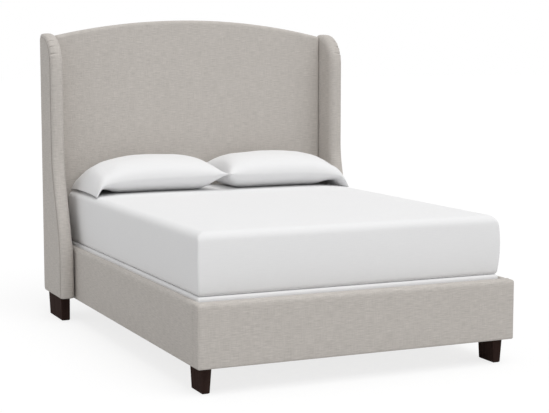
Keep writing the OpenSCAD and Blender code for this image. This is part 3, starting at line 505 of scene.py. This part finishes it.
def makeHeadboard():
    values = headboard
    keep = 1 - values["crowding"]
    acrossPower, upPower = values["fullness"]
    bm = bmesh.new()
    bmesh.ops.create_grid(bm, x_segments=values["columns"], y_segments=values["rows"], size=1)
    spot = bm.verts.layers.float_vector.new("spot")
    for vert in bm.verts:
        across, up = vert.co.x, (vert.co.y + 1) / 2
        across = keep * across + values["crowding"] * math.sin(across * quarter)
        up = keep * up + values["crowding"] * math.sin(up * quarter)
        vert[spot] = (across, up, 0)
        x, z = archPlace(across, up, values["sideRoll"], values["topRoll"], values["footRoll"])
        bulge = (1 - across ** acrossPower) * (1 - (2 * up - 1) ** upPower)
        ripple = noise.noise(Vector((x * 2.3, 4, z * 2.3))) * values["ripple"] * bulge
        vert.co = (x, headLow.y - values["crown"] * bulge - ripple, z)

    def rolled(vert, row):
        turn = quarter * (row + 1) / values["rollRows"]
        inwards = 1 - math.sin(turn)
        x, z = archPlace(vert[spot].x, vert[spot].y, values["sideRoll"] * inwards,
                         values["topRoll"] * inwards, values["footRoll"] * inwards)
        edge = values["topRoll" if vert[spot].y > 0.999 else "sideRoll"]
        return x, headLow.y + edge * (1 - math.cos(turn)), z

    rim = ringRows(bm, openEdges(bm), values["rollRows"], rolled)

    def backwards(vert, row):
        # back along the sides, then forward inside them to the plywood
        depth, inset = values["backRows"][row]
        x, z = archPlace(vert[spot].x, vert[spot].y, inset, inset, inset)
        return x, panelFace if depth is None else headLow.y + (headHigh.y - headLow.y) * depth, z

    closeRim(bm, ringRows(bm, rim, len(values["backRows"]), backwards))
    bmesh.ops.recalc_face_normals(bm, faces=bm.faces)
    finishPiece("headboardCover", bm, "bed_frame", linen,
                ("headboard_cover", "headboard_foam"))


makeHeadboard()

# dust cloth on the back of the headboard
backCloth = {
    "hem": 0.022,  # folded under along its edge
    "fold": 0.0003,
    "foldEase": 0.002,
    "inset": 0.0004,
    "thickness": 0.0004,
    "sunk": 0.0009,  # of its outer face under the back
    "sag": 0.0001,
    "columns": 160,
    "rows": 150,
}
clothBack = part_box("headboard_back_cloth")[1].y


def makeBackCloth():
    values = backCloth
    height = headHigh.z - headLow.z
    bm = bmesh.new()
    bmesh.ops.create_grid(bm, x_segments=values["columns"], y_segments=values["rows"], size=1)
    for vert in bm.verts:
        across, up = vert.co.x, (vert.co.y + 1) / 2
        x, z = archPlace(across, up, values["inset"], values["inset"], values["inset"])
        edge = min((1 - abs(across)) * headHalf, up * height, (1 - up) * height)
        fold = values["fold"] * smoothStep((values["hem"] - edge) / values["foldEase"])
        sag = values["sag"] * noise.noise(Vector((x * 5, z * 3, 2)))
        vert.co = (x, clothBack - values["sunk"] + fold + sag, z)
    bm.normal_update()
    bmesh.ops.solidify(bm, geom=bm.faces[:], thickness=values["thickness"])
    bmesh.ops.recalc_face_normals(bm, faces=bm.faces)
    cloth = finishPiece("headboardBackCloth", bm, "bed_frame", dustCloth,
                        ("headboard_back_cloth",))


makeBackCloth()
print("headboard made")

# wings
wing = {
    "roll": 0.026,
    "upDepth": 0.192,  # from the back to the seam above the sweep
    "lowDepth": 0.329,  # and below it
    "sweepLow": 0.330,
    "sweepTop": 0.930,
    "sweepLength": 0.62,  # along the seam
    "topRadius": 0.152,
    "heel": 0.025,
    "backRoll": 0.0015,
    "railSwell": 0.005,  # how far the padding swells towards the rail, up to railTop
    "railTop": 0.470,
    "railEase": 0.1,
    "innerEase": 0.020,  # how far behind the seam the roll's inner half ends
    "innerPower": 0.85,
    "square": 0.62,  # 1 for a round outer half of the roll, less for a squarer one
    # degrees round the roll, from the seam to its inner side
    "turns": (2, 6, 12, 20, 32, 46, 62, 78, 90, 106, 120, 134, 148, 162, 172, 180),
    # drawn in further on the inner side, and inset at the back
    "innerRows": ((0.006, 0.001), (0.03, 0.014), (0.06, 0.026)),
    "points": 640,
    "pleatPoints": 5,  # times as many points round the top corner as elsewhere
    "pleats": (129, 143, 158),  # degrees round the top corner
    "pleatDepth": 0.008,
    "pleatWidth": 1.5,  # degrees
    "puffAfter": 4,  # degrees from a pleat to the padding it pushes up
    "puffWidth": 2.6,
    "puffShare": 0.35,
    "cornerSpan": (88, 178),  # degrees in which the cloth is tucked
    "tuckEnd": 112,  # degrees round the roll where the pleats end
    "tuckFade": 60,
    "seam": 0.001,
    "seamInset": 0.002,
    "panel": 0.003,
    # share of the panel's thickness, and how far it is drawn in there
    "panelRows": ((0.4, -0.0012), (0.8, -0.0016), (0.96, -0.0024), (1, -0.004), (1, -0.02), (1, -0.036)),
}
wingLow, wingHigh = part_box("right_wing_cover")
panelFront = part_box("right_wing_side_panel")[0].x
wingTop = wingHigh.z - wing["roll"]
# middle of the arc at the top corner
arcY, arcZ = wingHigh.y - wing["upDepth"] + wing["topRadius"], wingTop - wing["topRadius"]


def wingPoint(share, out, inset):
    # Y and Z round the side outline, share 0 at the foot of the front, out square to the seam
    back, foot = wingHigh.y, wingLow.z
    heel = max(wing["heel"], inset + 0.0005)
    low, high = wing["sweepLow"], wing["sweepTop"]
    stretches = (
        (low - foot, "foot"), (wing["sweepLength"], "sweep"), (arcZ - high, "upper"),
        (wing["topRadius"] * quarter * wing["pleatPoints"], "arc"), (back - arcY, "top"),
        (wingTop - foot - heel, "back"), (wing["heel"] * quarter, "heel"),
        (wing["lowDepth"] - heel, "base"),
    )
    left = share * sum(length for length, part in stretches)
    for length, part in stretches:
        if left <= length:
            break
        left -= length
    t = min(1, left / length)
    if part == "foot":
        return back - wing["lowDepth"] - out, foot + inset + t * (low - foot - inset)
    if part == "sweep":
        reach = wing["lowDepth"] - wing["upDepth"]
        slope = reach * 6 * t * (1 - t) / (high - low)
        long = math.hypot(1, slope)
        return (back - wing["lowDepth"] + reach * smoothStep(t) - out / long,
                low + t * (high - low) + out * slope / long)
    if part == "upper":
        return back - wing["upDepth"] - out, high + t * (arcZ - high)
    if part == "arc":
        turn = math.pi - t * quarter
        return (arcY + (wing["topRadius"] + out) * math.cos(turn),
                arcZ + (wing["topRadius"] + out) * math.sin(turn))
    if part == "top":
        return arcY + t * (back - inset - arcY), wingTop + out
    if part == "back":
        return back - inset, wingTop + out - t * (wingTop + out - foot - heel)
    if part == "heel":
        turn = -t * quarter
        return back - heel + (heel - inset) * math.cos(turn), foot + heel + (heel - inset) * math.sin(turn)
    return back - heel - t * (wing["lowDepth"] - heel + out), foot + inset


def wingDisc(x, out, inset):
    # flat disc inside the side outline, its rim ready to grow
    bm = bmesh.new()
    bmesh.ops.create_circle(bm, segments=wing["points"], radius=1)
    bm.verts.ensure_lookup_table()
    order = bm.verts.layers.float.new("order")
    for index, vert in enumerate(bm.verts):
        vert[order] = index / wing["points"]
        vert.co = (x, *wingPoint(vert[order], out, inset))
    rim = bm.edges[:]
    closeRim(bm, rim)
    return bm, order, rim


def tuckOf(angle):
    # depth of the pleats at an angle round the top corner
    tuck = 0
    for place in wing["pleats"]:
        gap = angle - place
        tuck += math.exp(-(gap / wing["pleatWidth"]) ** 2)
        tuck -= wing["puffShare"] * math.exp(-((gap - wing["puffAfter"]) / wing["puffWidth"]) ** 2)
    return tuck * wing["pleatDepth"]


def railSide(z):
    return wing["railSwell"] * smoothStep((wing["railTop"] - z) / wing["railEase"])


def turnOver(bm, side):
    # the left one of a pair is the right one's mirror image
    if side < 0:
        bmesh.ops.scale(bm, verts=bm.verts, vec=(-1, 1, 1))
    bmesh.ops.recalc_face_normals(bm, faces=bm.faces)


def makeWing(side, name):
    half = (panelFront - wingLow.x) / 2
    bm, order, rim = wingDisc(panelFront - wing["seam"], 0, wing["seamInset"])

    def banded(vert, row):
        degrees = wing["turns"][row]
        turn = math.radians(degrees)
        if degrees < 90:
            out = wing["roll"] * math.sin(turn) ** wing["square"]
            over = 1 - math.cos(turn) ** wing["square"]
        else:
            drawn = 1 - math.sin(turn) ** wing["innerPower"]
            out = wing["roll"] - (wing["roll"] + wing["innerEase"]) * drawn
            over = 1 - math.cos(turn)
        inset = wing["backRoll"] * (1 - math.sin(turn)) if degrees > 90 else 0
        y, z = wingPoint(vert[order], out, inset)
        angle = math.degrees(math.atan2(z - arcZ, y - arcY))
        first, last = wing["cornerSpan"]
        if out > 0 and first < angle < last and z > arcZ:
            # the cloth is tucked in pleats where it turns the top corner
            reach = math.hypot(y - arcY, z - arcZ)
            tuck = tuckOf(angle) * smoothStep((wing["tuckEnd"] - degrees) / wing["tuckFade"])
            y -= (y - arcY) / reach * tuck
            z -= (z - arcZ) / reach * tuck
        return panelFront - (half + railSide(z) / 2) * over, y, z

    def flatInside(vert, row):
        drawn, inset = wing["innerRows"][row]
        y, z = wingPoint(vert[order], -wing["innerEase"] - drawn, wing["backRoll"] + inset)
        return wingLow.x - railSide(z), y, z

    rim = ringRows(bm, rim, len(wing["turns"]), banded)
    closeRim(bm, ringRows(bm, rim, len(wing["innerRows"]), flatInside))
    turnOver(bm, side)
    finishPiece(name + "WingCover", bm, "bed_frame", linen,
                (name + "_wing_cover", name + "_wing_foam"))

    # flat outer panel, its edge turned in at the seam
    bm, order, rim = wingDisc(panelFront, -wing["seam"], wing["seam"])

    def flat(vert, row):
        out, drawn = wing["panelRows"][row]
        return panelFront + out * wing["panel"], *wingPoint(vert[order], drawn, -drawn)

    closeRim(bm, ringRows(bm, rim, len(wing["panelRows"]), flat))
    turnOver(bm, side)
    finishPiece(name + "WingPanel", bm, "bed_frame", linen, (name + "_wing_side_panel",))


makeWing(-1, "left")
makeWing(1, "right")
print("wings made")

# rails
rails = {
    "topRoll": 0.016,
    "innerRoll": 0.006,
    "footRoll": 0.006,
    "footCorner": 0.009,
    "corner": 0.001,
    "innerPart": 0.016,  # from the middle of the foot rail to where its inner roll begins
    "swell": 0.002,  # how far the padding stands proud between the edges
    "fullness": (30, 4),  # powers of the swell along and up
    "ripple": 0.0006,
    "sideCells": (8, 110, 30),
    "footCells": (96, 14, 30),
    "even": 0.45,
}


def swell(bm, low, high, axis, side):
    # pads the outer face out, and lets it ripple a little
    other = 1 - axis
    alongPower, upPower = rails["fullness"]
    face = high[axis] if side > 0 else low[axis]
    for vert in bm.verts:
        if abs(vert.co[axis] - face) > 0.0005:
            continue
        along = 2 * (vert.co[other] - low[other]) / (high[other] - low[other]) - 1
        up = 2 * (vert.co.z - low.z) / (high.z - low.z) - 1
        bulge = (1 - along ** alongPower) * (1 - up ** upPower)
        ripple = rails["ripple"] * noise.noise(Vector((vert.co[other] * 3.1, vert.co.z * 6, axis + side)))
        vert.co[axis] += side * (rails["swell"] + ripple) * bulge


def makeSideRail(side, name):
    low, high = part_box(name + "_rail_cover")
    bm = softBlock(
        low, high, rails["sideCells"], lambda x, y, depth: rails["corner"],
        lambda x, y: rails["innerRoll" if x * side < 0 else "topRoll"],
        lambda x, y: rails["footRoll"], rails["even"])
    swell(bm, low, high, 0, side)
    bmesh.ops.recalc_face_normals(bm, faces=bm.faces)
    finishPiece(name + "RailCover", bm, "bed_frame", linen,
                (name + "_rail_cover", name + "_rail_padding"))


def makeFootRail():
    low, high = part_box("foot_rail_cover")
    bm = softBlock(
        low, high, rails["footCells"], lambda x, y, depth: rails["footCorner" if y < 0 else "corner"],
        lambda x, y: rails["topRoll" if y < rails["innerPart"] else "innerRoll"],
        lambda x, y: rails["footRoll"], rails["even"])
    swell(bm, low, high, 1, -1)
    bmesh.ops.recalc_face_normals(bm, faces=bm.faces)
    finishPiece("footRailCover", bm, "bed_frame", linen,
                ("foot_rail_cover", "foot_rail_padding"))


makeSideRail(-1, "left")
makeSideRail(1, "right")
makeFootRail()
print("rails made")

# foundation and mattress
foundation = {
    "corner": 0.006,
    "edge": 0.007,
    "foot": 0.003,
    "puff": {"left": 0.007, "right": 0.003, "foot": 0.007, "head": 0},  # bulge of each side
    "flatHead": 0.085,  # the sides stay flat this far from the head end, past the rail brackets
    "fullness": 14,  # power of the bulge: 2 for round sides, more for straighter ones
    "give": 0,
    "cells": (80, 100, 16),
    "even": 0.08,
}
mattress = {
    "corner": 0.009,
    "rearCorner": 0.016,
    "topCorner": 0.020,  # added just under the top
    "topReach": 0.045,
    "edge": 0.038,
    "foot": 0.017,
    "crown": 0.006,
    "crownFrom": 0.020,  # from the edge to where the top starts to rise, and how long it rises
    "crownReach": 0.150,
    "ripple": 0.0008,
    "rippleReach": 0.1,
    "puff": {"left": 0.007, "right": 0.013, "foot": 0.007, "head": 0.002},
    "flatHead": 0,
    "fullness": 2,
    "give": 0.003,  # how far the sides fall back in places
    "cells": (110, 140, 34),
    "even": 0.08,
}
bulges = {
    "reach": 0.03,  # inwards from a side, where the bulge has died out
    "headEase": 0.08,  # length over which it grows past the flat part of the head end
    "slackScale": (2.4, 2.4, 3),
    "slackFrom": 0.25,
    "givePowers": (4, 24),  # of the give, up and along
}
sideNames = (("left", "right"), ("foot", "head"))  # of X and of Y, low side first


def puffSides(bm, low, high, values):
    # bulges the sides out at mid height, and lets them give a little between their ends
    middle, half = (low + high) / 2, (high - low) / 2
    slackX, slackY, slackZ = bulges["slackScale"]
    upPower, alongPower = bulges["givePowers"]
    for vert in bm.verts:
        spot = vert.co - middle
        share = abs(spot.z) / half.z
        for axis in (0, 1):
            near = smoothStep(1 - (half[axis] - abs(spot[axis])) / bulges["reach"])
            along = abs(spot[1 - axis]) / half[1 - axis]
            place = Vector((vert.co.x * slackX, vert.co.y * slackY, vert.co.z * slackZ + axis))
            slack = min(0, noise.noise(place) - bulges["slackFrom"])
            out = values["puff"][sideNames[axis][spot[axis] > 0]] * (1 - share ** values["fullness"])
            out += values["give"] * slack * (1 - share ** upPower) * (1 - along ** alongPower)
            if axis == 0:
                out *= smoothStep((high.y - values["flatHead"] - vert.co.y) / bulges["headEase"])
            vert.co[axis] += math.copysign(out * near, spot[axis])


def makeFoundation():
    values = foundation
    low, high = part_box("foundation_cover")
    bm = softBlock(low, high, values["cells"], lambda x, y, depth: values["corner"],
                   lambda x, y: values["edge"], lambda x, y: values["foot"], values["even"])
    puffSides(bm, low, high, values)
    bmesh.ops.recalc_face_normals(bm, faces=bm.faces)
    finishPiece("foundationCover", bm, "foundation", whiteTicking,
                ("foundation_cover",))


def makeMattress():
    # gives the tree of its faces, on which the pillows rest
    values = mattress
    low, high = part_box("mattress_cover")
    top = Vector((high.x, high.y, high.z - values["crown"]))

    def corner(x, y, depth):
        # the upright corners get rounder just under the top
        rounder = values["topCorner"] * smoothStep(1 - depth / values["topReach"])
        return values["corner" if y < 0 else "rearCorner"] + rounder

    bm = softBlock(low, top, values["cells"], corner,
                   lambda x, y: values["edge"], lambda x, y: values["foot"], values["even"])
    middle, half = (low + high) / 2, (high - low) / 2
    for vert in bm.verts:
        if (vert.co.z - low.z) / (top.z - low.z) <= 0.999:
            continue
        inside = min(half.x - abs(vert.co.x - middle.x), half.y - abs(vert.co.y - middle.y))
        rise = values["crown"] * smoothStep((inside - values["crownFrom"]) / values["crownReach"])
        ripple = values["ripple"] * noise.noise(Vector((vert.co.x * 4, vert.co.y * 4, 1)))
        vert.co.z += rise + ripple * smoothStep(inside / values["rippleReach"])
    puffSides(bm, low, top, values)
    bmesh.ops.recalc_face_normals(bm, faces=bm.faces)
    tree = BVHTree.FromBMesh(bm)
    finishPiece("mattressCover", bm, "mattress", whiteTicking,
                ("mattress_cover",))
    return tree


makeFoundation()
mattressTree = makeMattress()
print("mattress and foundation made")

# pillows in their cases
pillow = {
    "columns": 80,
    "around": 120,
    "crowding": 0.6,  # of the columns towards the ends
    "cloth": 0.0012,
    "room": 0.0032,  # between the outside of a case and its pillow
    "endDraw": 0.034,  # how far the closed end curves in between its corners
    "endReach": 0.30,
    "lean": 0.014,  # of the crest towards the headboard
    "leanFront": 0.042,  # of the crest towards the foot at the closed end
    "leanFrontReach": 0.25,
    "forward": 0.009,  # of the whole case, away from the headboard
    "sharp": 1.5,  # 2 for a round underside, less for a sharper seam
    "tip": {-1: 0.024, 1: -0.018},  # how far the front corner reaches past the middle, by side
    "tipReach": 0.12,
    "tipPower": 9,  # more for a sharper tip
    "slump": 0.038,  # of the rear of the open end
    "slumpFrom": (0.62, 0.22),  # share of the length where it starts, and over which it grows
    "slumpEase": 0.06,  # share over which it dies out again at the open end
    "hemDrop": 0.012,  # of the open end over the mattress's edge
    "hemDropFrom": (0.93, 0.07),
    "hemUnder": 0.016,  # how far the lower hem stays behind the upper one
    "hemUnderFrom": (0.9, 0.1),
    "hemUnderEase": 1.1,
    "valley": 0.007,  # of the fold along the open end's crest
    "valleyFrom": (0.80, 0.08),
    "valleyEase": 0.04,
    "valleyPlace": (52, 15),  # degrees round the case, and its width
    "ripple": (0.003, 0.0011),  # of the broad and the fine waves
    "rippleEase": 0.1,
    "stitches": (0.885, 0.004, 0.0007),  # share of the length, width, and depth in metres
    "started": 0.02,  # share of the length where the pillow in the case starts
    "filled": 0.93,
    "endBulge": 0.03,
    "endRows": 6,
    "endLeast": 0.05,
    "rest": 0.0003,  # least height of a case over the mattress
}
# share of the length, then mm: crest, seam, underside, draw of the long edges, reach of the undercut,
# and the power that rounds the top
pillowForm = [
    (0.00, 96, 94, 92, -5, 69, 1.40),
    (0.02, 122, 93, 64, 6, 94, 1.15),
    (0.05, 148, 91, 36, 14, 119, 0.98),
    (0.10, 168, 89, 12, 22, 131, 0.88),
    (0.16, 179, 88, 2, 27, 138, 0.82),
    (0.23, 186, 87, 0, 30, 140, 0.78),
    (0.35, 191, 86, 0, 33, 142, 0.75),
    (0.48, 194, 86, 0, 34, 144, 0.74),
    (0.60, 191, 84, 0, 33, 144, 0.74),
    (0.71, 184, 80, 0, 30, 144, 0.74),
    (0.80, 172, 74, 3, 25, 138, 0.75),
    (0.86, 158, 68, 17, 20, 125, 0.77),
    (0.91, 139, 61, 24, 15, 112, 0.80),
    (0.94, 122, 55, 25, 11, 100, 0.84),
    (0.965, 97, 44, 22, 8, 75, 0.90),
    (0.985, 62, 27, 12, 5, 50, 1.00),
    (1.00, 19, 6, 0, 3, 30, 1.10),
]


def curve(place, column):
    # value of a column of the form at a share of the length, eased between its rows by a cubic
    index = 0
    while index < len(pillowForm) - 2 and place > pillowForm[index + 1][0]:
        index += 1
    rows = [pillowForm[min(len(pillowForm) - 1, max(0, index + step))] for step in (-1, 0, 1, 2)]
    (xa, ya), (x0, y0), (x1, y1), (xb, yb) = [(row[0], row[column]) for row in rows]
    run = x1 - x0
    slope0 = (y1 - ya) / (x1 - xa) * run
    slope1 = (yb - y0) / (xb - x0) * run
    t = (place - x0) / run
    return ((2 * t ** 3 - 3 * t ** 2 + 1) * y0 + (t ** 3 - 2 * t ** 2 + t) * slope0
            + (3 * t ** 2 - 2 * t ** 3) * y1 + (t ** 3 - t ** 2) * slope1)


def growing(share, start, length):
    # 0 up to a share of the length, 1 past the next stretch of it
    return smoothStep((share - start) / length)


def fading(share, reach):
    # 1 at the closed end, 0 from a share of the length on
    return max(0, 1 - share / reach) ** 2


def mattressHeight(x, y):
    # height of the mattress's surface at a place, and 0 beside it
    found = mattressTree.ray_cast(Vector((x, y, 1)), Vector((0, 0, -1)))[0]
    return found.z if found else 0


def makePillow(side, name):
    low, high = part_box("right_pillowcase")
    length, middleY = high.x - low.x, (low.y + high.y) / 2 - pillow["forward"]
    forms, sharp = {}, pillow["sharp"]

    def place(share, turn, skin, shrink=1.0):
        # turn runs from the front seam over the crest to the rear seam and back under the case
        if share not in forms:
            forms[share] = [curve(share, column) / 1000 for column in range(1, 6)] + [curve(share, 6)]
        crest, seam, under, draw, undercut, rounding = forms[share]
        reach = (high.y - low.y) / 2 - draw - skin
        t, rise = -math.cos(turn), math.sin(turn)
        y = middleY + reach * t
        if rise >= 0:
            z = seam + (crest - seam - skin) * rise ** rounding
            front = pillow["leanFront"] * fading(share, pillow["leanFrontReach"])
            y += (pillow["lean"] - front) * rise * rise
            middle, width = pillow["valleyPlace"]
            end = growing(share, *pillow["valleyFrom"]) * smoothStep((1 - share) / pillow["valleyEase"])
            z -= pillow["valley"] * end * math.exp(-((math.degrees(turn) - middle) / width) ** 2)
        else:
            apart = min(1, reach * (1 - abs(t)) / max(0.01, undercut - skin))
            z = under + skin + (seam - under - skin) * (1 - (1 - (1 - apart) ** sharp) ** (1 / sharp))
        slump = growing(share, *pillow["slumpFrom"]) * smoothStep((1 - share) / pillow["slumpEase"])
        z -= pillow["slump"] * max(0, t) * slump * max(0, rise) ** 0.5
        z = seam + (z - seam) * shrink
        z -= pillow["hemDrop"] * growing(share, *pillow["hemDropFrom"])
        (broad, fine), ease = pillow["ripple"], pillow["rippleEase"]
        ripple = noise.noise(Vector((share * 5, t * 2.2, side * 3 + 7))) * broad
        ripple += noise.noise(Vector((share * 13, t * 6, side * 5 + 2))) * fine
        z += ripple * max(0, rise) * smoothStep(share / ease) * smoothStep((1 - share) / ease)
        inwards = pillow["endDraw"] * (1 - t * t) * fading(share, pillow["endReach"])
        lower = smoothStep(-rise * pillow["hemUnderEase"])
        inwards -= pillow["hemUnder"] * lower * growing(share, *pillow["hemUnderFrom"])
        tip = pillow["tip"][side] * max(0, -t) ** pillow["tipPower"]
        inwards -= tip * fading(share, pillow["tipReach"])
        x = low.x + length * share + inwards
        return x, y, max(low.z + z, mattressHeight(side * x, y) + pillow["rest"] + skin)

    def shareAt(step):
        # the columns stand closer together near the ends
        even, crowding = step / pillow["columns"], pillow["crowding"]
        return (1 - crowding) * even + crowding * (0.5 - 0.5 * math.cos(math.pi * even))

    def startRing(share, skin):
        bm = bmesh.new()
        bmesh.ops.create_circle(bm, segments=pillow["around"], radius=1)
        bm.verts.ensure_lookup_table()
        order = bm.verts.layers.float.new("order")
        for index, vert in enumerate(bm.verts):
            vert[order] = math.tau * index / pillow["around"]
            vert.co = place(share, vert[order], skin)
        rim = bm.edges[:]
        closeRim(bm, rim)
        return bm, order, rim

    def endPiece(bm, title, finish, node):
        turnOver(bm, side)
        if bm.calc_volume(signed=True) < 0:
            bmesh.ops.reverse_faces(bm, faces=bm.faces)
        finishPiece(name + title, bm, name + "_pillow", finish, (name + node,))

    # the case: its outside, then back along its inside from the open end
    bm, order, rim = startRing(0, 0)

    def outside(vert, row):
        # a line of stitches holds the hem's turned edge down
        share, (hem, width, depth) = shareAt(row + 1), pillow["stitches"]
        return place(share, vert[order], math.exp(-((share - hem) / width) ** 2) * depth)

    def inside(vert, row):
        return place(shareAt(pillow["columns"] - row), vert[order], pillow["cloth"])

    rim = ringRows(bm, rim, pillow["columns"], outside)
    closeRim(bm, ringRows(bm, rim, pillow["columns"] - 1, inside))
    endPiece(bm, "Pillowcase", whiteCotton, "_pillowcase")

    # the pillow in it, its outer end rounded off inside the case
    rows, started, filled = pillow["columns"] // 2, pillow["started"], pillow["filled"]
    bm, order, rim = startRing(started, pillow["room"])

    def filling(vert, row):
        return place(started + (filled - started) * (row + 1) / rows, vert[order], pillow["room"])

    def rounded(vert, row):
        turn = quarter * (row + 1) / pillow["endRows"]
        return place(filled + pillow["endBulge"] * math.sin(turn), vert[order], pillow["room"],
                     max(pillow["endLeast"], math.cos(turn)))

    rim = ringRows(bm, ringRows(bm, rim, rows, filling), pillow["endRows"], rounded)
    closeRim(bm, rim)
    endPiece(bm, "Pillow", pillowTicking, "_pillow")


makePillow(-1, "left")
makePillow(1, "right")
print("pillows made")

# floor, sky and sun
stageLook = {
    "ambient": 0.58,
    "floorSize": 60,
    "floor": (0.68, 0.68, 0.68, 1),
    "floorShade": 0.22,  # how much of the floor's colour its shadows can take away
    "sunStrength": 1.50,
    "sunSpread": 50,  # degrees, so that shadows stay soft
    "sunFrom": (0.12, -0.42, 0.91),
}


def seenRays(tree):
    # 1 for what the camera sees straight, in a gloss or through glass, 0 for the light on things
    rays = tree.nodes.new("ShaderNodeLightPath").outputs
    return addMath(tree, "MAXIMUM", rays["Is Camera Ray"], addMath(
        tree, "MAXIMUM", rays["Is Glossy Ray"], rays["Is Transmission Ray"]))


bm = bmesh.new()
bmesh.ops.create_grid(bm, x_segments=1, y_segments=1, size=stageLook["floorSize"])
floorMesh = bpy.data.meshes.new("floor")
bm.to_mesh(floorMesh)
bm.free()
floor = bpy.data.objects.new("floor", floorMesh)
bpy.context.scene.collection.objects.link(floor)
floorMaterial = bpy.data.materials.new("paleFloor")
floorMaterial.use_nodes = True
tree = floorMaterial.node_tree
tree.nodes.remove(tree.nodes["Principled BSDF"])
seen = seenRays(tree)
shown = stageLook["floorShade"]
ground = addNode(tree, "ShaderNodeBsdfDiffuse", {
    "Color": mixColours(tree, seen, stageLook["floor"], (shown, shown, shown, 1))})
lift = addNode(tree, "ShaderNodeEmission", {"Strength": addMath(tree, "MULTIPLY", seen, 1.01 - shown)})
both = addNode(tree, "ShaderNodeAddShader", {0: ground.outputs[0], 1: lift.outputs[0]})
tree.links.new(both.outputs[0], tree.nodes["Material Output"].inputs["Surface"])
floorMesh.materials.append(floorMaterial)

world = bpy.data.worlds.new("studio")
bpy.context.scene.world = world
world.use_nodes = True
tree = world.node_tree
extra = addMath(tree, "MULTIPLY", seenRays(tree), 1 - stageLook["ambient"])
level = addMath(tree, "ADD", extra, stageLook["ambient"])
sky = tree.nodes["Background"]
sky.inputs["Color"].default_value = (1, 1, 1, 1)
tree.links.new(level, sky.inputs["Strength"])

sunData = bpy.data.lights.new("softSun", "SUN")
sunData.energy = stageLook["sunStrength"]
sunData.angle = math.radians(stageLook["sunSpread"])
softSun = bpy.data.objects.new("softSun", sunData)
softSun.rotation_euler = Vector(stageLook["sunFrom"]).to_track_quat("Z", "Y").to_euler()
bpy.context.scene.collection.objects.link(softSun)
print("stage made")
